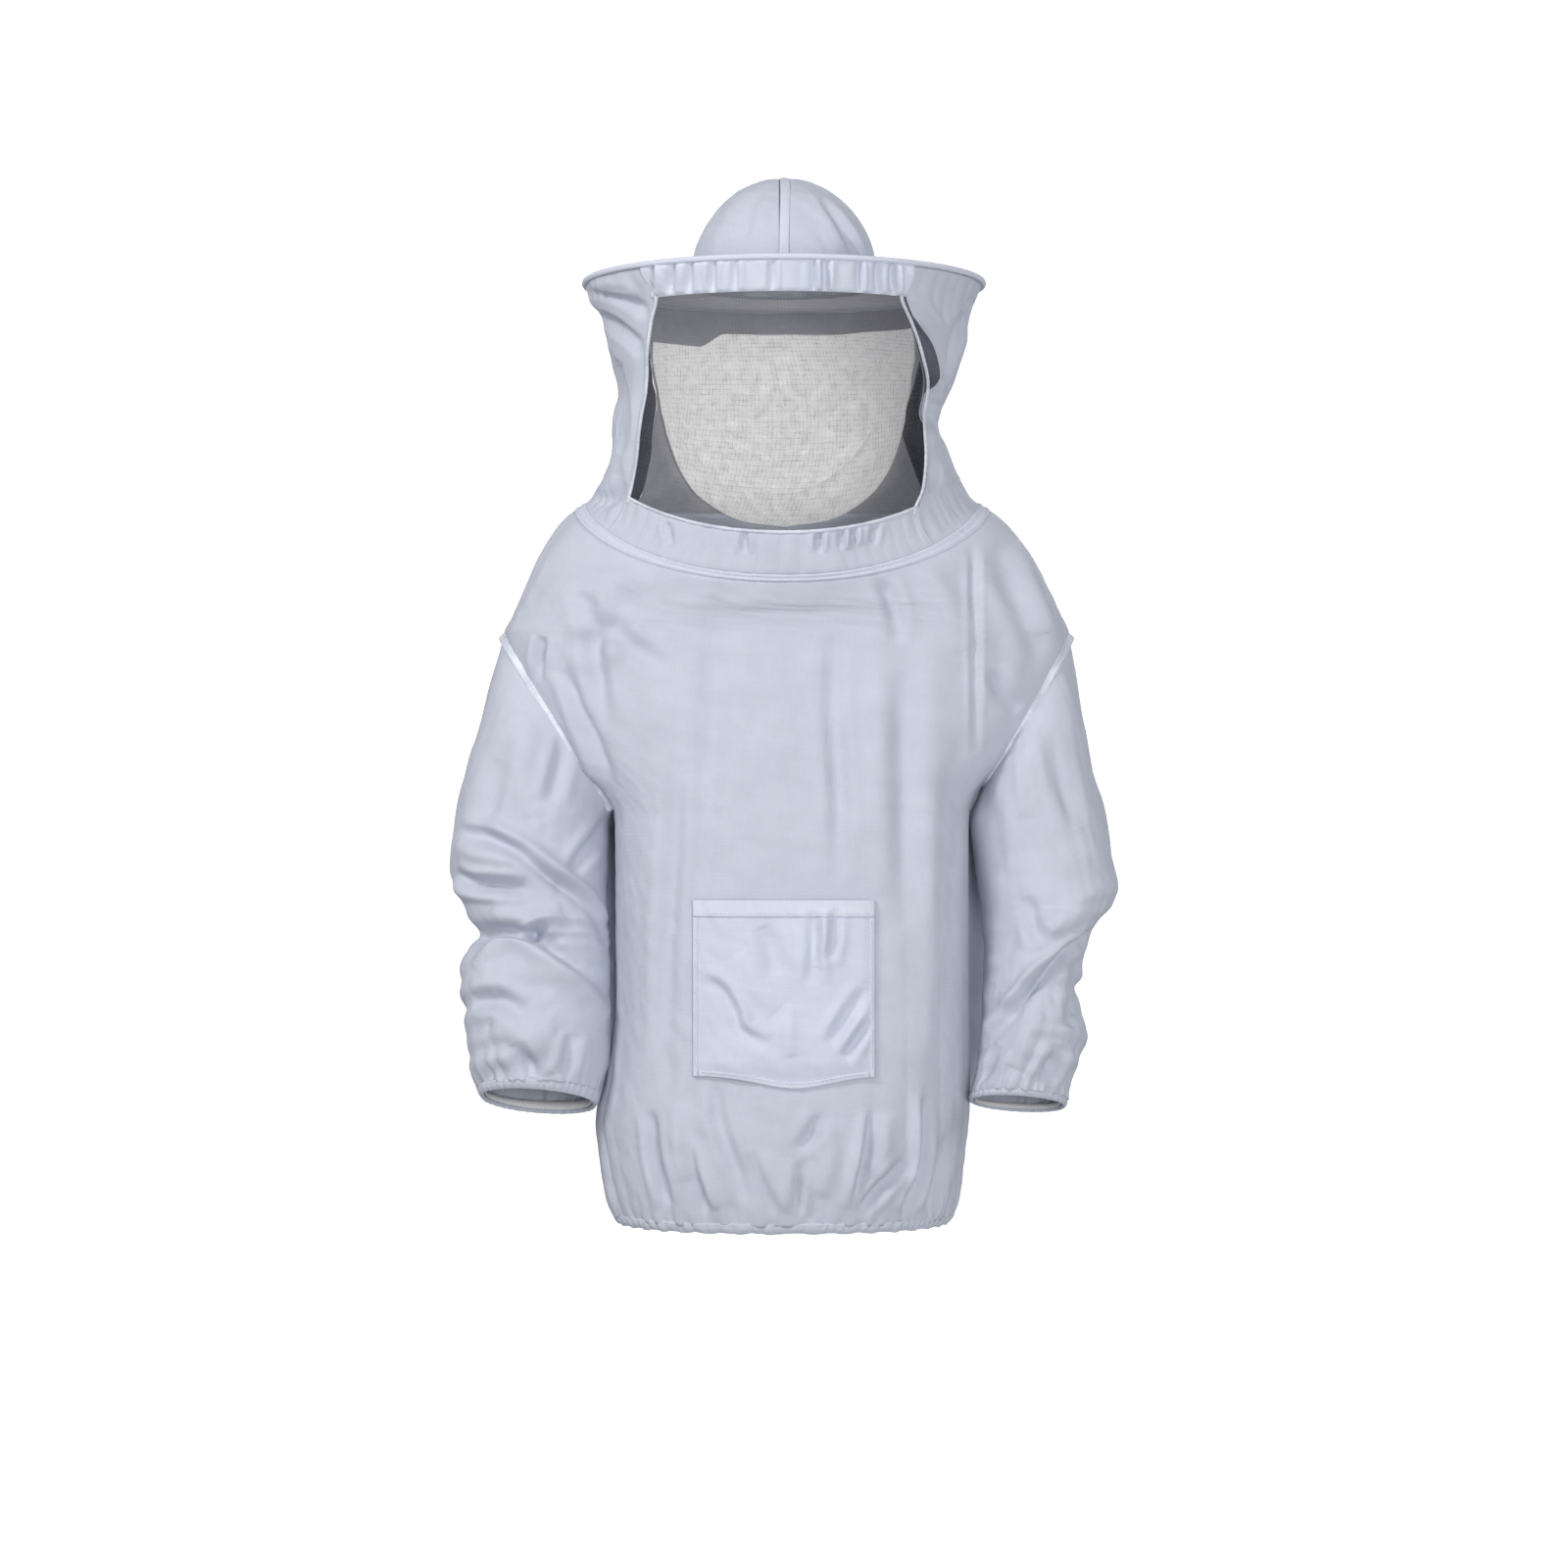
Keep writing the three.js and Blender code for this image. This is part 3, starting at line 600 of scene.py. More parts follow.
backCreases = [
    ["valley", 3.5, 12, [-190, 640], [-150, 560], [-140, 470], [-138, 380]],
    ["valley", 3.5, 12, [190, 640], [152, 560], [140, 470], [136, 380]],
    ["step", 3.5, 12, [-230, 560], [-160, 500], [-90, 470]],
    ["step", -3.5, 12, [230, 560], [160, 500], [90, 470]],
    ["ridge", 2.5, 18, [-60, 640], [-50, 500], [-56, 330], [-50, 160]],
    ["valley", 3.0, 14, [-14, 600], [-8, 450], [-12, 300], [-4, 120]],
    ["ridge", 2.5, 18, [52, 620], [50, 480], [58, 300], [52, 150]],
    ["valley", 3.5, 9, [-100, 150], [-92, 90], [-84, 30]],
    ["valley", 3.5, 9, [-20, 130], [-22, 80], [-14, 24]],
    ["valley", 3.5, 9, [64, 160], [60, 90], [50, 24]],
    ["step", 4.0, 8, [120, 120], [112, 70], [100, 22]],
    ["step", -4.0, 8, [-140, 110], [-136, 60], [-124, 20]],
    ["ridge", 3.0, 12, [20, 110], [22, 60], [18, 26]],
]


def bodyFolds(points, normal, u, level, table, seed):
    x, z = seenFromFront(points)
    facing = smoothStep(np.abs(normal[..., 1]), 0.12, 0.45)
    made = creases(x, z, table) * facing
    arc = u * 160
    made += 1.1 * ripples(arc, level * 0.35, 16, 26, 110, 0.0, seed)
    made += 0.35 * ripples(arc, level, 22, 9, 30, 0.5, seed + 1)
    height = level - 9
    made += gathers(arc, height, 40, 6.5, 80, seed + 2, 0.1) * smoothStep(level, 0, 30)
    made += gathers(arc, height, 15, 3.4, 24, seed + 3, -0.08)
    # calm beside the seams, so that neighbouring pieces keep meeting
    calm = smoothStep(levels["neck"] - level, 2, 26)
    return made * calm


def bodyPanel(name, node, start, table, seed):
    low, high = 8.0, levels["neck"] - 3.2
    rows = np.concatenate([
        np.linspace(low, levels["armpit"], 116, endpoint=False),
        levels["armpit"] + (levels["shoulder"] - levels["armpit"]) * (
            1 - np.cos(np.linspace(0, math.pi, 80))) / 2,
        levels["shoulder"] + (high - levels["shoulder"]) * np.linspace(0, 1, 50)[1:] ** 1.5])
    share = np.linspace(-1, 1, 190)
    share = np.sin(share * math.pi / 2) * 0.25 + share * 0.75
    right = sideLimit(1, rows)[:, None]
    left = sideLimit(-1, rows)[:, None]
    # the middle columns stay where they are, and the outer ones draw in to the armhole
    limit = np.where(share < 0, left, right)
    u = share * math.pi / 2 - (math.pi / 2 - limit) * np.abs(share) ** 2 * share
    u = u if start == 0 else math.pi - u
    level = np.broadcast_to(rows[:, None], u.shape)
    grid = garment(u, level)
    centre = np.zeros_like(grid)
    centre[..., 2] = grid[..., 2]
    normal = garmentNormal(u, level)
    folds = bodyFolds(grid, normal, u, level, table, seed)
    edge = smoothStep(1 - np.abs(share), 0, 0.05)[None, :]
    grid = shifted(grid, normal, folds * edge)
    made, area = clothPiece(name, grid, cottonWall, [whitePoplin], centre)
    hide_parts(node)
    return made, area


frontPanel, frontArea = bodyPanel("frontPanel", "front_panel", 0, frontCreases, 11)
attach(frontPanel, "jacket")
# flat cloth over made surface: 1.04 for seams, 1.05 in the lining and 1.15 where it is gathered
backPanel, backArea = bodyPanel("backPanel", "back_panel", math.pi, backCreases, 21)
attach(backPanel, "jacket")
print("body panels made")


def hemRing(u, level, inset):
    grid = garment(u, level, inset)
    centre = np.zeros_like(grid)
    centre[..., 2] = grid[..., 2]
    normal = normalsOf(grid, True, centre)
    arc = u * 160
    rise = gathers(arc, np.zeros_like(arc), 11, 1.5, 20, 31)
    return grid, normal, rise, centre


def makeHem():
    rows = 13
    u = np.broadcast_to(np.linspace(0, 2 * math.pi, 720, endpoint=False), (rows, 720))
    level = np.broadcast_to(np.linspace(0, 10.5, rows)[:, None], u.shape)
    grid, normal, rise, centre = hemRing(u, level, -0.6)
    puff = 1.6 * np.sin(np.pi * np.linspace(0.08, 0.92, rows))[:, None]
    grid = shifted(grid, normal, rise * (0.6 + 0.4 * puff) + puff)
    grid[..., 2] += 0.7 * np.sin(u * 37) * np.linspace(1, 0, rows)[:, None] + 0.7
    made, _ = clothPiece("hemCasing", grid, 3.6, [whitePoplin], centre, wrap=True)
    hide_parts("hem_casing")
    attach(made, "jacket")
    stitchRow("hemStitches", grid[10], normal[10], "jacket", closed=True)


def makeHemElastic():
    u = np.broadcast_to(np.linspace(0, 2 * math.pi, 240, endpoint=False), (3, 240))
    level = np.broadcast_to(np.linspace(2.5, 8.5, 3)[:, None], u.shape)
    grid, _, _, centre = hemRing(u, level, 5.0)
    made, _ = clothPiece("hemElastic", grid, 1.0, [knitElastic], centre, wrap=True)
    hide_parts("hem_elastic")
    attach(made, "jacket")


makeHem()
makeHemElastic()


# Sleeves

# outer edge and inner edge as [distance from the middle plane, level], half depth,
# middle along Y, forward tip
sleeveRows = {
    -1: [
        [301, 536, 177, 406, 84, -4, 0],
        [318, 478, 178, 386, 84, -8, 0],
        [330, 432, 178, 362, 83, -12, 0],
        [338, 378, 179, 337, 82, -17, 0],
        [336, 345, 178, 314, 78, -22, 0],
        [321, 314, 177, 298, 74, -25, 0.03],
        [308, 290, 176, 283, 71, -28, 0.05],
        [324, 271, 175, 265, 74, -31, 0.07],
        [327, 244, 175, 240, 75, -36, 0.09],
        [322, 215, 175, 213, 73, -41, 0.13],
        [319, 182, 175, 184, 70, -46, 0.18],
        [314, 156, 178, 158, 65, -50, 0.24],
        [304, 130, 190, 122, 52, -54, 0.32],
    ],
    1: [
        [302, 528, 188, 408, 84, -4, 0],
        [313, 465, 192, 376, 84, -8, 0],
        [324, 421, 195, 356, 83, -12, 0],
        [332, 384, 197, 337, 82, -16, 0],
        [337, 344, 200, 314, 79, -21, 0],
        [332, 321, 201, 299, 76, -25, 0.03],
        [312, 300, 202, 286, 73, -28, 0.04],
        [305, 273, 202, 266, 72, -31, 0.06],
        [298, 250, 201, 247, 72, -35, 0.08],
        [295, 232, 200, 230, 72, -38, 0.1],
        [302, 207, 199, 208, 71, -42, 0.13],
        [304, 189, 197, 190, 69, -45, 0.16],
        [296, 166, 195, 168, 65, -49, 0.19],
        [287, 144, 191, 146, 59, -52, 0.22],
        [282, 120, 187, 127, 51, -54, 0.24],
    ],
}

sleeveCreases = {
    -1: [
        ["valley", 3.0, 8, [-220, 498], [-231, 455], [-238, 425]],
        ["ridge", 3.0, 12, [-262, 520], [-268, 460], [-262, 410]],
        ["valley", 2.4, 10, [-290, 470], [-300, 430], [-310, 395]],
        ["valley", 5.5, 7, [-178, 412], [-190, 392], [-205, 372], [-217, 354]],
        ["step", 5.0, 8, [-172, 420], [-176, 390], [-174, 360], [-170, 338]],
        ["step", 6.0, 9, [-328, 400], [-300, 396], [-262, 376], [-230, 352], [-196, 324]],
        ["ridge", 5.0, 10, [-334, 384], [-308, 372], [-262, 364], [-226, 344]],
        ["valley", 6.0, 7, [-338, 354], [-318, 344], [-288, 341], [-262, 338]],
        ["step", 5.5, 7, [-268, 374], [-238, 353], [-212, 338], [-194, 320], [-182, 300], [-174, 272]],
        ["valley", 4.5, 6, [-243, 303], [-256, 292], [-262, 282]],
        ["ridge", 4.5, 12, [-300, 316], [-262, 306], [-226, 316]],
        ["step", -7.0, 10, [-322, 262], [-296, 286], [-264, 286], [-230, 266], [-200, 244], [-178, 220]],
        ["ridge", 4.0, 10, [-262, 268], [-232, 250], [-202, 228], [-176, 204]],
        ["valley", 4.0, 9, [-318, 222], [-292, 224], [-262, 212]],
        ["ridge", 3.6, 12, [-300, 196], [-264, 188], [-232, 192]],
        ["valley", 3.6, 8, [-276, 180], [-262, 160], [-254, 142]],
        ["valley", 3.2, 7, [-214, 190], [-220, 164], [-226, 146]],
    ],
    1: [
        ["valley", 4.0, 7, [192, 476], [216, 479], [246, 484]],
        ["ridge", 3.0, 12, [226, 520], [240, 460], [246, 410]],
        ["valley", 2.5, 10, [270, 500], [286, 440], [300, 400]],
        ["valley", 3.0, 9, [206, 440], [214, 400], [216, 350]],
        ["step", -7.0, 8, [318, 304], [286, 278], [248, 238], [214, 196], [192, 170]],
        ["ridge", 4.0, 12, [322, 336], [290, 312], [250, 276], [216, 236]],
        ["valley", 3.5, 8, [300, 268], [298, 232], [292, 196]],
        ["valley", 4.0, 6, [219, 178], [210, 158], [200, 140]],
        ["ridge", 3.2, 10, [262, 214], [244, 184], [232, 156]],
        ["valley", 3.4, 7, [284, 178], [272, 156], [262, 140]],
        ["valley", 3.0, 8, [246, 330], [256, 300], [262, 280]],
    ],
}
sleeveBackCreases = [
    ["step", 5.5, 9, [176, 400], [220, 366], [280, 350], [330, 352]],
    ["ridge", 4.0, 12, [200, 340], [250, 326], [316, 330]],
    ["valley", 5.5, 8, [180, 312], [230, 300], [300, 296]],
    ["step", -5.0, 9, [190, 250], [240, 268], [316, 262]],
    ["valley", 4.0, 9, [196, 214], [246, 224], [306, 214]],
    ["valley", 3.0, 10, [240, 540], [262, 470], [270, 400]],
]


def armholeReach(side, angle):
    # in the armhole's plane, how far the garment's section lets each direction go, found by halving
    low, high = np.zeros(angle.shape), np.full(angle.shape, 200.0)
    top, bottom = armhole["outward"][side], armhole["inward"][side]
    length = math.hypot(top - bottom, levels["shoulder"] - levels["armpit"])
    down = np.array([(top - bottom) / length, (levels["shoulder"] - levels["armpit"]) / length])
    middle = np.array([(top + bottom) / 2, (levels["shoulder"] + levels["armpit"]) / 2])
    for _ in range(30):
        reach = (low + high) / 2
        x = middle[0] - down[0] * np.cos(angle) * reach
        level = middle[1] - down[1] * np.cos(angle) * reach
        row = smoothRows(sections, level)
        wide = row[..., 0] if side < 0 else row[..., 1]
        halfDeep, power = row[..., 2], row[..., 3]
        outside = (np.abs(x) / wide) ** power + np.abs(np.sin(angle) * reach / halfDeep) ** power > 1
        outside |= level < levels["armpit"] + 1
        high = np.where(outside, reach, high)
        low = np.where(outside, low, reach)
    return low, down, middle


def armholeRing(side, angle, along=0.0, lift=0.0):
    # the ring where body and sleeve meet; along moves it towards the hand, lift away from the arm
    reach, down, middle = armholeReach(side, angle)
    reach = reach + lift
    x = middle[0] - down[0] * np.cos(angle) * reach + down[1] * along
    level = middle[1] - down[1] * np.cos(angle) * reach - down[0] * along
    return np.stack([side * x, np.sin(angle) * reach, level], -1)


def sleeveRing(side, row, angle):
    outerX, outerZ, innerX, innerZ, deep, middle, tip = row
    halfX, halfZ = (innerX - outerX) / 2, (innerZ - outerZ) / 2
    y = deep * np.sign(np.sin(angle)) * np.abs(np.sin(angle)) ** 0.92
    x = (outerX + innerX) / 2 + halfX * np.cos(angle)
    z = (outerZ + innerZ) / 2 + halfZ * np.cos(angle) - tip * y
    return np.stack([side * x, middle + y, z], -1)


def sleeveSkin(side, angle, place):
    # rings from the armhole to the cuff, joined by a smooth curve at each angle; place 0 is the armhole
    rings = [armholeRing(side, angle[0], 0.6)]
    for row in sleeveRows[side]:
        rings.append(sleeveRing(side, row, angle[0]))
    rings = np.array(rings)
    made = np.zeros(angle.shape + (3,))
    stations = np.arange(len(rings), dtype=float)
    flat = np.concatenate([stations[:, None], rings.reshape(len(rings), -1)], axis=1)
    made[:] = smoothRows(flat, place[:, 0]).reshape(made.shape)
    return made


def sleeveGrid(side, low, high, rows, columns):
    angle = np.broadcast_to(np.linspace(0, 2 * math.pi, columns, endpoint=False), (rows, columns))
    place = np.broadcast_to(np.linspace(low, high, rows)[:, None], angle.shape)
    grid = sleeveSkin(side, angle, place)
    centre = np.broadcast_to(grid.mean(axis=1, keepdims=True), grid.shape)
    return grid, angle, place, centre


def cuffRipple(side, angle):
    return gathers(angle * 60, np.zeros_like(angle), 9, 1.6, 20, 52 + side)


def makeSleeve(side, word):
    count = len(sleeveRows[side])
    end = count - 0.32
    grid, angle, place, centre = sleeveGrid(side, 0, end, 250, 170)
    normal = normalsOf(grid, True, centre)
    x, z = seenFromFront(grid)
    front = smoothStep(-normal[..., 1], 0.05, 0.4)
    back = smoothStep(normal[..., 1], 0.05, 0.4)
    folds = creases(x, z, sleeveCreases[side]) * front
    folds += creases(np.abs(x), z, sleeveBackCreases) * back
    run = place / count * 480
    girth = angle * 75
    folds += 1.5 * ripples(girth, run, 16, 24, 90, 0.5, 70 + side)
    folds += 0.45 * ripples(girth, run, 22, 9, 28, 0.2, 80 + side)
    bunch = smoothStep(place, 3.5, 5.5)
    folds += 1.6 * bunch * ripples(girth * 0.5, run, 14, 26, 60, 0.85, 90 + side)
    height = (end - place) / count * 480
    folds += gathers(girth, height, 26, 4.2, 42, 60 + side, 0.15)
    folds += gathers(girth, height, 11, 2.4, 14, 64 + side)
    calm = smoothStep(place, 0, 0.45)
    inner = smoothStep(side * normal[..., 0] * -1, 0.2, 0.8)
    grid = shifted(grid, normal, folds * calm * (1 - 0.55 * inner))
    made, area = clothPiece("sleeve" + word, grid, cottonWall, [whitePoplin], centre, wrap=True)
    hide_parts("sleeve_" + word.lower())
    blendSleeve(made, side)
    return made


def blendSleeve(made, side):
    # the armhole's middle is found, and the sleeve's placement is baked into its mesh
    start = armholeRing(side, np.array([0.0, math.pi])).mean(axis=0)
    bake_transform(made)


def makeCuff(side, word):
    count = len(sleeveRows[side])
    grid, angle, _, centre = sleeveGrid(side, count - 0.36, count, 11, 400)
    normal = normalsOf(grid, True, centre)
    share = np.linspace(0, 1, 11)[:, None]
    puff = np.sin(np.pi * np.clip(share, 0.06, 0.94))
    grid = shifted(grid, normal, cuffRipple(side, angle) * (0.5 + 0.5 * puff) + 1.5 * puff)
    made, _ = clothPiece("cuffCasing" + word, grid, 3.4, [whitePoplin], centre, wrap=True)
    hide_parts("cuff_casing_" + word.lower())
    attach(made, "sleeve_" + word.lower())
    stitchRow("cuffStitches" + word, grid[2], normal[2], "sleeve_" + word.lower(), closed=True)
    grid, angle, _, centre = sleeveGrid(side, count - 0.3, count - 0.06, 3, 160)
    normal = normalsOf(grid, True, centre)
    grid = shifted(grid, normal, np.full(angle.shape, -4.6))
    made, _ = clothPiece("cuffElastic" + word, grid, 1.0, [knitElastic], centre, wrap=True)
    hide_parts("cuff_elastic_" + word.lower())
    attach(made, "sleeve_" + word.lower())


def makeArmholeTape(side, word):
    # a folded tape over the seam, a little puckered between its stitches
    columns = 420
    angle = np.linspace(0, 2 * math.pi, columns, endpoint=False)
    offsets = np.linspace(-6.5, 6.5, 11)
    pucker = 0.35 * ripples(angle * 130, angle * 0, 18, 5, 16, 0.0, 140 + side)
    rows = []
    for along in offsets:
        swell = 1.7 - 1.2 * (along / 6.5) ** 2
        rows.append(armholeRing(side, angle, along, swell + pucker * (1 - (along / 7) ** 2)))
    grid = np.array(rows)
    centre = np.broadcast_to(grid.mean(axis=(0, 1)), grid.shape)
    made, _ = clothPiece("armholeTape" + word, grid, 1.6, [tapeTwill], centre, wrap=True)
    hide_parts("armhole_tape_" + word.lower())
    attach(made, "jacket")


for side, word in ((-1, "Left"), (1, "Right")):
    makeSleeve(side, word)
    makeCuff(side, word)
    makeArmholeTape(side, word)
print("sleeves made")


# Pocket

pocket = {"halfWidth": 89.5, "top": 331, "bottom": 158, "stand": 6.5, "sag": 12}
pocketCreases = [
    ["valley", 2.6, 7, [30, 316], [32, 280], [28, 240]],
    ["valley", 2.4, 6, [52, 318], [50, 288], [44, 262]],
    ["ridge", 2.2, 8, [41, 318], [41, 290], [36, 256]],
    ["step", 3.0, 8, [-80, 250], [-60, 238], [-46, 214], [-40, 196], [-14, 182]],
    ["ridge", 2.2, 12, [-50, 270], [-30, 240], [-6, 214]],
    ["valley", 2.6, 7, [84, 236], [62, 204], [46, 178]],
    ["valley", 2.4, 6, [90, 206], [74, 184], [62, 164]],
    ["ridge", 2.0, 9, [8, 220], [4, 190], [8, 166]],
    ["valley", 2.2, 10, [-22, 300], [-12, 276], [-6, 250]],
]


def pocketGrid(low, high, rows, columns, stand, widen=0.0, sag=0.0):
    share = np.linspace(-1, 1, columns)
    level = np.linspace(low, high, rows)[:, None] + 0 * share[None, :]
    foot = 1 - (level - low) / (high - low)
    # the bottom edge hangs in a shallow curve, lowest right of the middle
    level = level - sag * foot ** 2 * np.exp(-(((share - 0.12) / 0.55) ** 2))
    x = (pocket["halfWidth"] + widen) * share[None, :] + 0 * level
    row = smoothRows(sections, level)
    wide = np.where(x < 0, row[..., 0], row[..., 1])
    u = np.arcsin((np.abs(x) / wide) ** (row[..., 3] / 2)) * np.sign(x)
    grid = garment(u, level)
    centre = np.zeros_like(grid)
    centre[..., 2] = grid[..., 2]
    normal = garmentNormal(u, level)
    folds = bodyFolds(grid, normal, u, level, frontCreases, 11)
    swell = stand * np.maximum(1 - np.abs(share[None, :]) ** 6, 0.0) ** 0.5
    return shifted(grid, normal, folds + 1.2 + swell), normal, share, level, centre


def makePocket():
    grid, normal, share, level, centre = pocketGrid(
        pocket["bottom"], pocket["top"], 120, 130, pocket["stand"], sag=pocket["sag"])
    x, z = seenFromFront(grid)
    folds = creases(x, z, pocketCreases) + 0.5 * ripples(x, z, 24, 9, 40, 0.3, 201)
    foot = smoothStep(level - pocket["bottom"], -pocket["sag"], 16)
    edge = smoothStep(1 - np.abs(share), 0, 0.14)[None, :]
    grid = shifted(grid, normal, folds * edge * foot - pocket["stand"] * 0.9 * (1 - foot) * edge)
    made, area = clothPiece("pocketPanel", grid, 0.8, [pocketPoplin], centre)
    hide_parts("pocket_panel")
    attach(made, "jacket")

    # the folded top hem and the seam allowances pressed along the other three edges show as brighter strips
    strip = grid[-12:]
    stripNormal = normal[-12:]
    top, _ = clothPiece("pocketHem", shifted(strip, stripNormal, np.full(strip.shape[:2], 1.3)), 1.0,
                           [doubledPoplin], centre[-12:])
    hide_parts("pocket_hem")
    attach(top, "jacket")
    rows = {"Hem": (grid[-10, 3:-3], normal[-10, 3:-3], 1.4),
            "Left": (grid[6:-12, 3], normal[6:-12, 3], 1.0),
            "Right": (grid[6:-12, -4], normal[6:-12, -4], 1.0),
            "Bottom": (grid[3, 6:-6], normal[3, 6:-6], 1.0)}
    for place, (path, up, lift) in rows.items():
        stitchRow("pocketStitches" + place, path + up * lift, up, "jacket")
    edges = {"pocketEdgeLeft": (slice(0, 108), slice(0, 5)),
             "pocketEdgeRight": (slice(0, 108), slice(-5, None)),
             "pocketEdgeBottom": (slice(0, 5), slice(5, -5))}
    for name, (r, c) in edges.items():
        part = shifted(grid[r, c], normal[r, c], np.full(grid[r, c].shape[:2], 0.9))
        made, _ = clothPiece(name, part, 0.7, [doubledPoplin], centre[r, c])
        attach(made, "jacket")


makePocket()
print("pocket made")


# Veil

window = {"bottom": 762, "top": 922, "frame": 4.5}
veilRadius = 175  # turns an angle into a length along the veil
bandOverlap = 0.034  # how far a band goes past the window's edges, as an angle
# level, then the angles in degrees of the window's left and right edges
windowEdges = [
    [731, -58, 46],
    [757, -57, 45],
    [764, -57, 47],
    [772, -56.5, 52],
    [790, -56, 58],
    [813, -55, 63],
    [840, -53.5, 61],
    [870, -50, 51],
    [900, -46, 42],
    [922, -42, 37],
    [954, -42, 37],
]
backEdge = math.radians(128)

veilCreases = [
    ["step", -5.0, 8, [-206, 944], [-180, 940], [-156, 930], [-136, 916]],
    ["ridge", 4.0, 9, [-200, 954], [-176, 950], [-150, 944]],
    ["valley", 4.0, 7, [-186, 926], [-170, 914], [-154, 898], [-140, 886]],
    ["ridge", 3.0, 9, [-176, 900], [-160, 880], [-146, 850]],
    ["valley", 3.0, 9, [-168, 880], [-160, 830], [-162, 780]],
    ["ridge", 3.0, 9, [-158, 870], [-152, 820], [-158, 760]],
    ["step", 3.0, 8, [-172, 800], [-178, 770], [-192, 744]],
    ["valley", 3.0, 7, [-160, 752], [-172, 738], [-190, 728]],
    # the right side buckles and crosses itself beside the window
    ["step", 8.0, 8, [198, 940], [186, 905], [170, 868], [152, 826], [146, 790]],
    ["valley", 6.0, 6, [116, 934], [124, 920], [134, 896], [146, 860], [152, 828]],
    ["ridge", 6.0, 8, [134, 944], [150, 912], [158, 870], [156, 832]],
    ["valley", 4.5, 7, [184, 926], [172, 896], [162, 862]],
    ["ridge", 4.0, 8, [190, 936], [178, 900], [166, 862]],
    ["valley", 5.0, 7, [150, 826], [158, 800], [166, 776], [176, 756]],
    ["ridge", 3.5, 8, [156, 812], [170, 784], [184, 758]],
    ["valley", 3.0, 7, [146, 800], [150, 770], [150, 744]],
]
bandCreases = [
    ["step", 2.6, 5, [-132, 982], [-131, 962], [-132, 944]],
    ["valley", 2.4, 4, [-114, 980], [-115, 946]],
    ["valley", 2.2, 4, [-96, 982], [-96, 946]],
    ["valley", 2.2, 4, [-72, 984], [-73, 946]],
    ["valley", 1.6, 4, [-50, 984], [-50, 946]],
    ["valley", 1.6, 4, [-12, 984], [-12, 946]],
    ["step", 3.2, 4, [32, 986], [33, 944]],
    ["valley", 2.6, 4, [42, 986], [41, 944]],
    ["step", 3.2, 4, [78, 984], [79, 944]],
    ["valley", 2.6, 4, [95, 982], [94, 944]],
    ["step", 4.2, 4, [113, 982], [114, 942]],
    ["step", -3.0, 5, [145, 976], [140, 942]],
    ["ridge", 2.4, 6, [128, 980], [128, 942]],
    # the lower band's pleats
    ["valley", 2.4, 4, [36, 706], [35, 682]],
    ["step", 2.6, 4, [62, 708], [60, 684]],
    ["step", 2.6, 4, [74, 710], [73, 688]],
    ["valley", 2.0, 4, [92, 712], [90, 690]],
    ["valley", 1.8, 4, [-40, 704], [-40, 680]],
    ["valley", 1.8, 4, [-118, 712], [-116, 690]],
]


def windowEdge(side, level):
    row = smoothRows(windowEdges, level)
    return np.radians(row[..., 0] if side < 0 else row[..., 1])


def veilGrid(levelRows, start, end, columns):
    # start and end give the panel's edges as angles at each level
    share = np.linspace(0, 1, columns)[None, :]
    u = start[:, None] * (1 - share) + end[:, None] * share
    level = np.broadcast_to(levelRows[:, None], u.shape)
    grid = garment(u, level)
    centre = np.zeros_like(grid)
    centre[..., 2] = grid[..., 2]
    return grid, u, level, centre


def veilFolds(grid, normal, u, level, seed):
    x, z = seenFromFront(grid)
    facing = smoothStep(-normal[..., 1], -0.15, 0.25)
    folds = creases(x, z, veilCreases) * facing
    arc = u * veilRadius
    # drawn in to the neck below and hung from the brim above
    folds += gathers(arc, level - levels["veilFoot"], 17, 2.4, 34, seed, 0.12)
    folds += gathers(arc, levels["veilTop"] - level, 21, 3.0, 44, seed + 1, -0.1)
    folds += 2.2 * ripples(arc, level, 12, 50, 150, 0.15, seed + 2) * (1 - facing * 0.6)
    folds += 0.5 * ripples(arc, level, 20, 10, 32, 0.4, seed + 3)
    foot, top = levels["veilFoot"], levels["veilTop"]
    calm = smoothStep(level, foot, foot + 11) * (1 - smoothStep(level, top - 11, top) * 0.75)
    return folds * calm


leafColumns = 12


def leafWidth(level):
    # width of the slit as an angle: widest in the middle of its height
    low, high = 812, 905
    share = np.clip((level - low) / (high - low), 0, 1)
    return 0.14 * np.sin(np.pi * share) ** 1.2


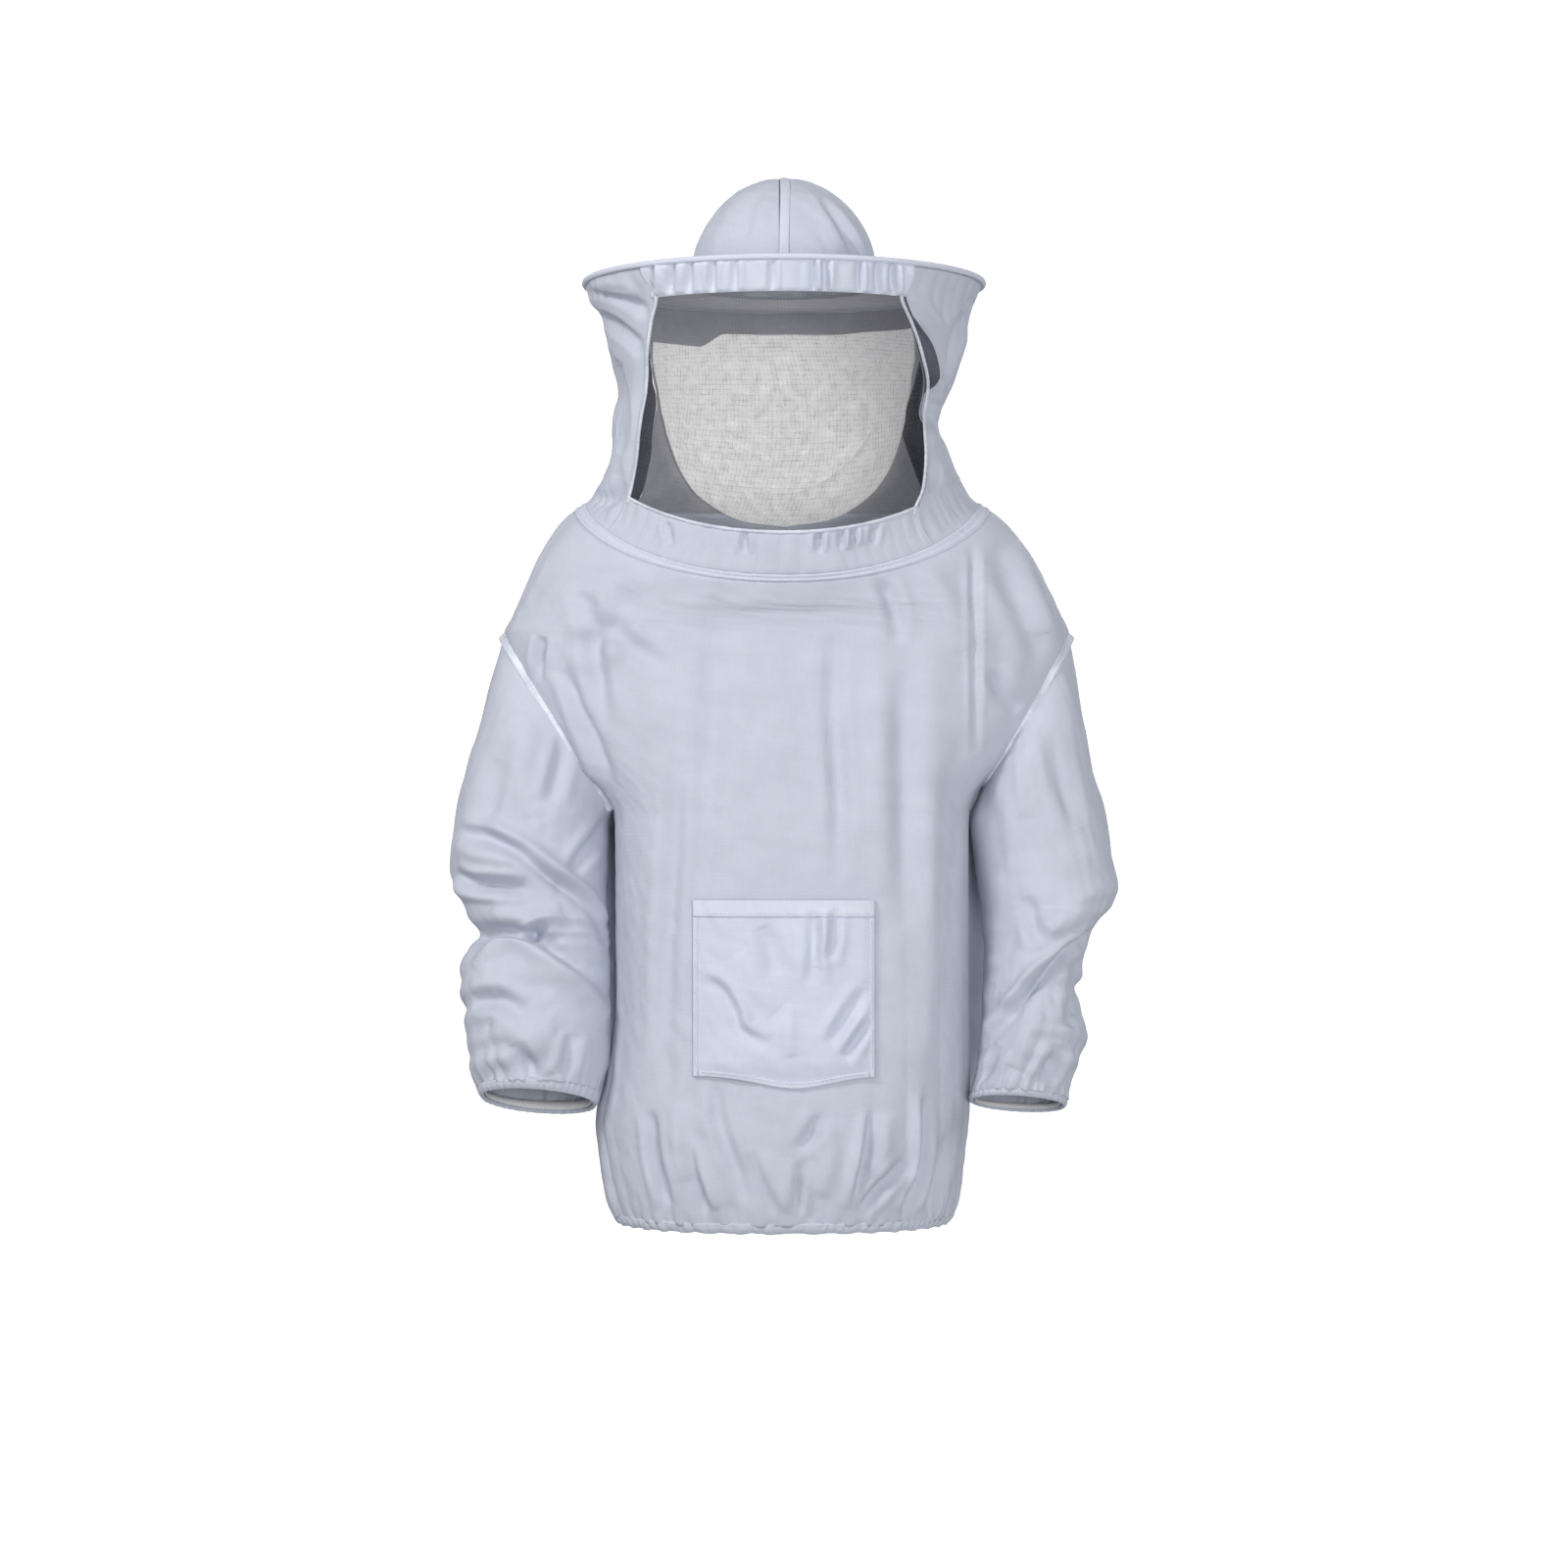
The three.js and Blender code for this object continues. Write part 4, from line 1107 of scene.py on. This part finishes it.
def veilPanel(name, node, start, end, rows, columns, seed, materials, clip=None, leaf=False):
    levelRows = np.linspace(levels["veilFoot"], levels["veilTop"], rows)
    grid, u, level, centre = veilGrid(levelRows, start(levelRows), end(levelRows), columns)
    if leaf:
        slit = np.linspace(0, 1, leafColumns)[None, :] * (leafWidth(levelRows)[:, None] + 0.006)
        rest = np.linspace(0, 1, columns - leafColumns + 1)[None, 1:]
        first = start(levelRows)[:, None] + slit
        u = np.concatenate([first, first[:, -1:] + (end(levelRows)[:, None] - first[:, -1:]) * rest], axis=1)
        grid = garment(u, level)
    normal = garmentNormal(u, level)
    folds = veilFolds(grid, normal, u, level, seed)
    folds = np.clip(folds, -9, 4.5) if clip is None else np.clip(folds, *clip)
    near = np.minimum(np.abs(u - windowEdge(-1, level)), np.abs(u - windowEdge(1, level))) * veilRadius
    folds = folds * smoothStep(near, 3, 22)
    if leaf:
        # a slit beside the window, where the cloth gapes and a strip of dark net shows, darkened with
        # painted shade from the hood's inside
        inSlit = np.arange(columns) < leafColumns
        deep = 5.0 * smoothStep(np.arange(columns) * 1.0, leafColumns + 3, leafColumns - 2)[None, :]
        folds = folds - deep * smoothStep(leafWidth(level), 0.004, 0.05)
    made, area = clothPiece(name, shifted(grid, normal, folds), cottonWall, materials, centre)
    if leaf:
        indices = np.zeros(len(made.data.polygons), np.int32)
        made.data.polygons.foreach_get("material_index", indices)
        slit = np.tile(inSlit[:-1], rows - 1)
        indices[:len(slit)] = np.where(slit, len(materials) - 1, indices[:len(slit)])
        made.data.polygons.foreach_set("material_index", indices)
    finishVeil(made, node)
    return made, area


def finishVeil(made, node):
    if node:
        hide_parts(node)
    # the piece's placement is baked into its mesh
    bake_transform(made)


def makeVeil():
    frameTurn = 0.45 * window["frame"] / veilRadius
    # inside faces: the sides in dark net colour with painted shade, the back in a grey of painted shade
    sideCloth = [whitePoplin, darkNetAndPaintedShade]
    right, rightArea = veilPanel("veilSideRight", "veil_side_right", lambda l: windowEdge(1, l) + frameTurn,
                                 lambda l: np.full(l.shape, backEdge), 130, 100, 301, sideCloth, leaf=True)
    left, leftArea = veilPanel("veilSideLeft", "veil_side_left", lambda l: np.full(l.shape, -backEdge),
                               lambda l: windowEdge(-1, l) - frameTurn, 130, 90, 311, sideCloth)
    back, backVeilArea = veilPanel("veilBack", "veil_back", lambda l: np.full(l.shape, backEdge),
                                   lambda l: np.full(l.shape, 2 * math.pi - backEdge), 120, 120, 321,
                                   [whitePoplin, veilBackPaintedShade])


makeVeil()


def windowBand(name, node, low, high, rows, columns, material, seed, lift):
    # a doubled strip of cloth, drawn up in small uneven pleats
    levelRows = np.linspace(low, high, rows)
    left = windowEdge(-1, levelRows) - bandOverlap
    right = windowEdge(1, levelRows) + bandOverlap
    grid, u, level, centre = veilGrid(levelRows, left, right, columns)
    normal = normalsOf(grid, False, centre)
    x, z = seenFromFront(grid)
    arc = u * veilRadius
    folds = creases(x, z, bandCreases) + 0.35 * ripples(arc, level, 18, 7, 24, 0.1, seed)
    folds += gathers(arc, np.zeros_like(arc), 15, 0.9, 20, seed + 1)
    share = (level - low) / (high - low)
    edge = smoothStep(share, 0, 0.12) * (1 - smoothStep(share, 0.88, 1))
    grid = shifted(grid, normal, folds * (0.4 + 0.6 * edge) + lift * (0.35 + 0.65 * edge))
    made, _ = clothPiece(name, grid, 1.6, [material], centre)
    finishVeil(made, node)


windowBand("windowBandTop", "window_band_top", 922, 953, 26, 330, doubledPoplin, 331, 1.8)
windowBand("windowBandBottom", "window_band_bottom", 731.5, 763, 28, 330, whitePoplin, 341, 1.0)


def makeWindowFrame(side, word):
    # narrow white piping down each side of the net
    levelRows = np.linspace(758, 926, 90)
    edge = windowEdge(side, levelRows)
    around = np.linspace(0, 2 * math.pi, 10, endpoint=False)
    middle = garment(edge, levelRows)
    centre = np.zeros_like(middle)
    centre[:, 2] = middle[:, 2]
    out = middle - centre
    out[:, 2] = 0
    out /= np.linalg.norm(out, axis=1, keepdims=True)
    across = np.cross(out, [0, 0, 1])
    swell = (0.96 + 0.08 * np.sin(levelRows * 1.9))[:, None, None]
    grid = middle[:, None] + swell * (out[:, None] * (1.5 * np.cos(around) + 0.6)[None, :, None]
                                      + across[:, None] * (2.3 * np.sin(around))[None, :, None])
    solidTube("windowFrame" + word, grid, [tapeTwill])
    made = bpy.data.objects["windowFrame" + word]
    finishVeil(made, "window_frame_" + word.lower())


def solidTube(name, grid, materials):
    # rings of points closed into a tube, with both ends shut by folding them to their middles
    first = np.repeat(grid[:1].mean(axis=1, keepdims=True), grid.shape[1], axis=1)
    last = np.repeat(grid[-1:].mean(axis=1, keepdims=True), grid.shape[1], axis=1)
    closed = np.concatenate([first + (grid[:1] - first) * 0.02, grid, last + (grid[-1:] - last) * 0.02])
    rows, columns, _ = closed.shape
    r, c, quads = gridFaces(rows, columns, columns)
    places = gridPlaces(r, c, *arcLengths(closed, True))
    half = columns // 2
    ends = []
    for base in (0, (rows - 1) * columns):
        for i in range(1, half):
            quad = [base + i - 1, base + i, base + columns - 1 - i, base + (columns - i) % columns]
            ends.append(quad if base else quad[::-1])
    quads = np.concatenate([quads, np.array(ends)])
    places = np.concatenate([places, np.zeros((len(ends), 4, 2))])
    return buildMesh(name, closed.reshape(-1, 3), quads, materials, places)


def makeWindowSill():
    # the piping turns along the bottom of the window
    foot = np.array(float(window["bottom"]))
    turn = np.linspace(float(windowEdge(-1, foot)) - 0.01, float(windowEdge(1, foot)) + 0.01, 150)
    middle = garment(turn, np.full(turn.shape, foot + 1.0))
    out = middle * np.array([1, 1, 0])
    out /= np.linalg.norm(out, axis=1, keepdims=True)
    up = np.cross(out, np.gradient(middle, axis=0))
    up /= np.linalg.norm(up, axis=1, keepdims=True)
    around = np.linspace(0, 2 * math.pi, 10, endpoint=False)
    swell = (1 + 0.12 * ripples(turn * 170, turn * 0, 14, 6, 22, 0.0, 351))[:, None, None]
    grid = middle[:, None] + swell * (out[:, None] * (1.3 * np.cos(around) + 1.2)[None, :, None]
                                      + up[:, None] * (1.7 * np.sin(around))[None, :, None])
    made = solidTube("windowFrameBottom", grid, [tapeTwill])
    finishVeil(made, None)


makeWindowSill()
makeWindowFrame(-1, "Left")
makeWindowFrame(1, "Right")


# Net

net = {"pitch": 3.3, "thread": 0.16}


def netPoint(u, level):
    # the net hangs slack between its edges and bellies a little inwards
    grid = garment(u, level)
    share = np.clip((level - window["bottom"]) / (window["top"] - window["bottom"]), 0, 1)
    inward = 2.0 + 3.0 * np.sin(np.pi * share)
    radial = grid.copy()
    radial[..., 2] = 0
    radial /= np.maximum(np.linalg.norm(radial, axis=-1, keepdims=True), 1e-9)
    return grid - radial * inward[..., None]


def makeNet():
    # threads both ways, each a three-sided tube carried along its line, joined in one mesh
    levelCount = int((window["top"] - window["bottom"] + 26) / net["pitch"])
    turnCount = int(285 / net["pitch"])
    lineLevels = np.linspace(window["bottom"] - 4, window["top"] + 6, levelCount)
    shares = np.linspace(0, 1, turnCount)
    left, right = windowEdge(-1, lineLevels) - 0.01, windowEdge(1, lineLevels) + 0.01
    u = left[:, None] * (1 - shares) + right[:, None] * shares
    level = np.broadcast_to(lineLevels[:, None], u.shape)
    crossing = netPoint(u, level)
    rng = np.random.default_rng(7)
    crossing += rng.normal(0, 0.12, crossing.shape)
    points, quads = [], []
    base = 0
    corners = np.array([0, 2, 4]) * math.pi / 3
    for lines, sign in ((crossing, 1), (crossing.transpose(1, 0, 2), -1)):
        along = np.gradient(lines, axis=1)
        along /= np.linalg.norm(along, axis=-1, keepdims=True)
        out = lines.copy()
        out[..., 2] = 0
        out /= np.linalg.norm(out, axis=-1, keepdims=True)
        side = np.cross(along, out)
        lift = out * 0.08 * sign
        tube = (lines + lift)[:, :, None] + net["thread"] / 2 * (
            out[:, :, None] * np.cos(corners)[None, None, :, None]
            + side[:, :, None] * np.sin(corners)[None, None, :, None])
        count, length = lines.shape[:2]
        points.append(tube.reshape(-1, 3))
        i, j, k = np.meshgrid(np.arange(count), np.arange(length - 1), np.arange(3), indexing="ij")
        a = base + (i * length + j) * 3 + k
        b = base + (i * length + j) * 3 + (k + 1) % 3
        quads.append(np.stack([a, b, b + 3, a + 3], -1).reshape(-1, 4))
        base += count * length * 3
    points = np.concatenate(points)
    quads = np.concatenate(quads)
    made = buildMesh("windowNet", points, quads, [netThread], None, None)
    made.data.validate()
    finishVeil(made, "window_net")


makeNet()


# distance from the middle, then the level of the lining's lower edge
liningEdge = [[0, 716], [50, 724], [83, 742], [101, 759], [117, 786], [126, 816], [132, 850], [138, 884]]


def makeLining():
    # hangs inside the back of the veil, its lower edge cut in a U, a little slack
    rows, columns = 110, 130
    x = np.linspace(-1, 1, columns)[None, :] * 138 + np.zeros((rows, 1))
    share = np.linspace(0, 1, rows)[:, None]
    edge = smoothRows(liningEdge, np.abs(x))[..., 0]
    top = 926 - 16 * (1 - smoothStep(x, -92, -62))
    level = edge + (np.maximum(top, edge + 12) - edge) * share
    row = smoothRows(sections, level)
    wide = np.where(x < 0, row[..., 0], row[..., 1]) - 5
    u = math.pi - np.arcsin(np.clip(np.abs(x) / wide, 0, 1) ** (row[..., 3] / 2)) * np.sign(x)
    grid = garment(u, level, 5.0)
    grid[..., 1] = np.maximum(grid[..., 1], 40)
    centre = np.zeros_like(grid)
    centre[..., 2] = grid[..., 2]
    normal = normalsOf(grid, False, centre)
    folds = 1.6 * ripples(u * veilRadius, level, 14, 30, 120, 0.3, 401)
    folds -= 2.2 * np.exp(-((share - 0.04) / 0.05) ** 2)
    x, z = grid[..., 0], grid[..., 2]
    folds -= creases(x, z, [["step", 4.0, 7, [134, 890], [100, 826], [60, 776], [0, 744]],
                            ["ridge", 3.0, 10, [-122, 850], [-108, 790], [-76, 752], [-10, 730]]])
    folds = np.clip(folds, -9, 2.0)
    made, area = clothPiece("backLining", shifted(grid, normal, folds), 0.9, [liningCalico], centre)
    finishVeil(made, "back_lining")


makeLining()


def makeNeckBinding():
    # a turned-in tape over the neck seam, with a row of stitches sunk near each edge
    columns = 700
    u = np.linspace(0, 2 * math.pi, columns, endpoint=False)
    levelRows = np.linspace(-3.8, 3.8, 13)
    shape = (13, columns)
    grid = garment(np.broadcast_to(u, shape), levels["neck"] + np.broadcast_to(levelRows[:, None], shape))
    centre = np.zeros_like(grid)
    centre[..., 2] = grid[..., 2]
    normal = normalsOf(grid, True, centre)
    pucker = 0.3 * ripples(u * 170, u * 0, 20, 5, 18, 0.0, 501)[None, :]
    across = levelRows[:, None] / 3.8
    swell = 1.3 * (1 - across ** 4) - 0.9 * np.exp(-(across / 0.2) ** 2) + pucker * (1 - across ** 2)
    sewn = shifted(grid, normal, swell)
    made, _ = clothPiece("neckBinding", sewn, 1.8, [pocketPoplin], centre, wrap=True)
    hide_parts("neck_binding")
    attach(made, "jacket")
    stitchRow("neckStitchesLower", sewn[3], normal[3], "jacket", closed=True)
    stitchRow("neckStitchesUpper", sewn[9], normal[9], "jacket", closed=True)


makeNeckBinding()
print("veil made")


# Hat

hat = {"brim": 206, "crown": 96, "height": 108, "seam": 9}


def solidRing(name, grid, materials):
    # a grid that closes on itself both ways
    rows, columns, _ = grid.shape
    r, c = np.meshgrid(np.arange(rows), np.arange(columns), indexing="ij")
    r, c = r.ravel(), c.ravel()
    nextC, nextR = (c + 1) % columns, (r + 1) % rows
    quads = np.stack([r * columns + c, r * columns + nextC, nextR * columns + nextC, nextR * columns + c], 1)
    step = 2.0
    places = np.stack([np.stack([c, r], 1), np.stack([c + 1, r], 1), np.stack([c + 1, r + 1], 1),
                       np.stack([c, r + 1], 1)], 1) * step * mm
    return buildMesh(name, grid.reshape(-1, 3), quads, materials, places)


def makeBrim():
    brimLevel = levels["brim"]
    radii = np.linspace(hat["crown"] + 0.6, hat["brim"] - 2.8, 60)
    for name, node, sign, material in (("brimTopCover", "brim_top_cover", 1, whitePoplin),
                                       ("brimUnderCover", "brim_under_cover", -1, brimUnder)):
        turn = np.linspace(0, 2 * math.pi, 420, endpoint=False)
        r = np.broadcast_to(radii[:, None], (60, 420))
        t = np.broadcast_to(turn, (60, 420))
        # four sewn rings press the cloth down onto the stiff disc, and it puckers a little between them
        ring = (r - hat["crown"]) / (hat["brim"] - hat["crown"]) * 5
        quilt = 0.35 * np.abs(np.sin(np.pi * ring)) ** 0.6
        pucker = 0.12 * ripples(t * 150, r, 20, 8, 30, 0.5, 601 + sign)
        z = brimLevel + sign * (1.9 + quilt + pucker)
        grid = np.stack([r * np.sin(t), -r * np.cos(t), z], -1)
        centre = np.broadcast_to(np.array([0, 0, brimLevel]), grid.shape)
        up = np.zeros_like(grid)
        up[..., 2] = sign
        made, _ = clothPiece(name, grid, 0.55, [material], centre, wrap=True, normal=up)
        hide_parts(node)
        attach(made, "hat")
    around = np.linspace(0, 2 * math.pi, 14, endpoint=False)
    turn = np.linspace(0, 2 * math.pi, 420, endpoint=False)
    pucker = 1 + 0.05 * ripples(turn * 200, turn * 0, 20, 6, 20, 0.0, 611)
    ringRadius = hat["brim"] - 2.6 + 2.6 * np.cos(around)[None, :] * pucker[:, None]
    height = brimLevel + 2.9 * np.sin(around)[None, :] * pucker[:, None]
    grid = np.stack([ringRadius * np.sin(turn)[:, None], -ringRadius * np.cos(turn)[:, None], height], -1)
    made = solidRing("brimEdgeBinding", grid, [doubledPoplin])
    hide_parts("brim_edge_binding")
    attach(made, "hat")


makeBrim()


def makeCrownPanel(side, word):
    # arches parallel to the seam: slice by slice from the seam to the side, each from front to back
    slices, columns = 80, 150
    inside = hat["seam"] / 2 + 0.2
    spread = np.sin(np.linspace(math.asin(inside / hat["crown"]), math.pi / 2 * 0.995, slices))
    x = (hat["crown"] * spread)[:, None] + np.zeros((1, columns))
    turn = np.linspace(0, math.pi, columns)[None, :]
    deep = np.sqrt(np.maximum(hat["crown"] ** 2 - x ** 2, 0))
    y = -deep * np.cos(turn)
    z = hat["height"] * np.sqrt(np.maximum(1 - (x / hat["crown"]) ** 2, 0)) * np.sin(turn)
    grid = np.stack([side * x, y, levels["brim"] + z], -1)
    centre = np.broadcast_to(np.array([0.0, 0.0, levels["brim"]]), grid.shape)
    normal = (grid - centre) / np.array([hat["crown"] ** 2, hat["crown"] ** 2, hat["height"] ** 2])
    normal /= np.linalg.norm(normal, axis=-1, keepdims=True)
    px, pz = grid[..., 0], grid[..., 2]
    py = grid[..., 1]
    folds = 0.9 * ripples(py, pz, 14, 22, 90, 0.2, 701 + side)
    folds += 0.3 * ripples(px, py + pz, 20, 8, 26, 0.4, 711 + side)
    # small gathers where the crown meets the brim, and a crease down the right side
    foot = pz - levels["brim"]
    girth = np.arctan2(px, -py) * hat["crown"]
    folds += gathers(girth, foot, 17, 1.5, 12, 721 + side)
    if side > 0:
        folds += creases(px, pz, [["step", 3.0, 6, [38, 1034], [56, 1010], [74, 984], [86, 962]],
                                  ["ridge", 1.8, 9, [20, 1046], [44, 1010],
                                   [60, 975]]]) * smoothStep(-py, 0, 30)
    else:
        folds += creases(px, pz, [["valley", 1.8, 9, [-30, 1040], [-44, 1000], [-50, 968]],
                                  ["ridge", 1.8, 11, [-60, 1010], [-68, 985],
                                   [-74, 962]]]) * smoothStep(-py, 0, 30)
    seamPull = 1 - np.exp(-(np.abs(px) - inside) / 5)
    folds = folds * seamPull * smoothStep(foot, -1, 6) * smoothStep(hat["crown"] - np.abs(px), 0.5, 8)
    # the sweatband inside holds the foot out
    folds = np.maximum(folds, -0.5 - 0.08 * np.maximum(foot - 26, 0))
    grid = shifted(grid, normal, folds - 0.8 * (1 - seamPull))
    made, _ = clothPiece("crownPanel" + word, grid, cottonWall, [whitePoplin], centre, normal=normal)
    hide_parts("crown_panel_" + word.lower())
    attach(made, "hat")


def makeCrownTape():
    # the two turned-in edges of the panels stand up as a flat felled seam from front to back
    columns = 220
    turn = np.linspace(0, math.pi, columns)[None, :]
    across = np.linspace(-1, 1, 13)[:, None]
    lean = 2.5 * np.sin(turn * 2.0)
    x = across * (hat["seam"] / 2 + 0.4) + lean * np.sin(turn) * 0.6
    swell = 0.6 * (1 - across ** 4) - 0.3 * np.exp(-((np.abs(across) - 0.62) / 0.12) ** 2)
    pucker = 0.22 * ripples(turn * 100, across * 0, 18, 5, 16, 0.0, 731)
    shape = np.sqrt(1 - (x / hat["crown"]) ** 2)
    y = -(hat["crown"] * shape + swell + pucker) * np.cos(turn)
    z = (hat["height"] * shape + swell + pucker) * np.sin(turn)
    grid = np.stack([x, y, levels["brim"] + z], -1)
    centre = np.broadcast_to(np.array([0.0, 0.0, levels["brim"]]), grid.shape)
    made, _ = clothPiece("crownSeamTape", grid, 1.6, [pocketPoplin], centre)
    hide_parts("crown_seam_tape")
    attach(made, "hat")


makeCrownPanel(-1, "Left")
makeCrownPanel(1, "Right")
makeCrownTape()


def makeSweatband():
    # a doubled strip inside the crown's foot: radius = (crown - inset) * sqrt(1 - (height / dome) squared)
    low = (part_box("sweatband")[0][2] - hemZ) / mm
    turn = np.linspace(0, 2 * math.pi, 360, endpoint=False)[None, :]
    height = np.linspace(0.4, 27.6, 15)[:, None]
    pucker = 0.2 * ripples(turn * 90, turn * 0, 18, 6, 18, 0.0, 741) * np.sin(np.pi * height / 28)
    radius = (hat["crown"] - 3.1) * np.sqrt(1 - (height / 106) ** 2) + pucker
    grid = np.stack([radius * np.sin(turn), -radius * np.cos(turn), low + height + 0 * turn], -1)
    centre = grid * np.array([0, 0, 1])
    made, _ = clothPiece("crownSweatband", grid, 1.0, [tapeTwill], centre, wrap=True)
    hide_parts("sweatband")
    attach(made, "hat")


makeSweatband()
print("hat made")


# Hidden pieces that keep their shape from the frame

for node, material in (("brim_core", stiffFelt), ("brim_wire_hoop", springWire)):
    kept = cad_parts[node].data.materials
    kept.clear()
    kept.append(material)


# Floor, backdrop and light

def makeStudio():
    # a round pale floor that curls up far behind everything
    flat, bend = 7, 2.2
    curl = np.linspace(0.1, math.pi / 2, 10)
    radii = np.concatenate([np.linspace(0.02, flat, 12), flat + bend * np.sin(curl), [9.2, 9.2]])
    heights = np.concatenate([np.zeros(12), bend - bend * np.cos(curl), [4.5, 8.0]])
    turn = np.linspace(0, 2 * math.pi, 96, endpoint=False)
    grid = np.stack([radii[:, None] * np.sin(turn), radii[:, None] * np.cos(turn),
                     heights[:, None] + 0 * turn], -1)
    rows, columns, _ = grid.shape
    quads = gridFaces(rows, columns, columns)[2]
    points = (grid.reshape(-1, 3) + np.array([0, 0, studio["floor"] - hemZ])) / mm
    paper = newMaterial("seamlessPaper")
    tree = paper.node_tree
    place = addNode(tree, "TexCoord").outputs["Object"]
    grain = addNode(tree, "TexNoise", {}, {"Vector": place, "Scale": 3.0}).outputs["Fac"]
    colour = addNode(tree, "ValToRGB", {}, {"Fac": grain})
    colour.color_ramp.elements[0].color = linear("#F6F7F9")
    colour.color_ramp.elements[1].color = linear("#FCFCFD")
    shader = addNode(tree, "BsdfPrincipled", {}, {
        "Base Color": colour.outputs[0], "Roughness": 0.95, "Emission Color": linear("#FFFFFF"),
        "Emission Strength": 0.85})
    addNode(tree, "OutputMaterial", {}, {"Surface": shader.outputs[0]})
    sweep = buildMesh("seamlessPaper", points, quads, [paper], flip=False)
    sweep.visible_diffuse = False  # the paper is only a ground, and throws no light back at the cloth
    sweep.visible_glossy = False

    world = bpy.data.worlds.new("softWhiteRoom")
    world.use_nodes = True
    background = world.node_tree.nodes["Background"]
    background.inputs["Color"].default_value = linear("#F6F8FF")
    background.inputs["Strength"].default_value = 0.36
    bpy.context.scene.world = world
    aim = (0, 0, -0.1)
    makeLight("frontSoftbox", (0.9, -4.1, -0.2), aim, 1.7, 78, (1.0, 0.995, 0.99))
    makeLight("keySoftbox", (-2.2, -2.4, 2.2), aim, 1.0, 66, (1.0, 0.99, 0.98))
    makeLight("backSoftbox", (0.8, 3.8, 1.4), aim, 1.8, 84, (1.0, 1.0, 1.0))
    makeLight("leftSoftbox", (-4.0, 0.9, 0.6), aim, 1.6, 12, (1.0, 1.0, 1.0))
    makeLight("rightSoftbox", (4.0, 0.9, 0.6), aim, 1.6, 12, (1.0, 1.0, 1.0))
    bpy.context.scene.view_settings.view_transform = "Standard"


makeStudio()
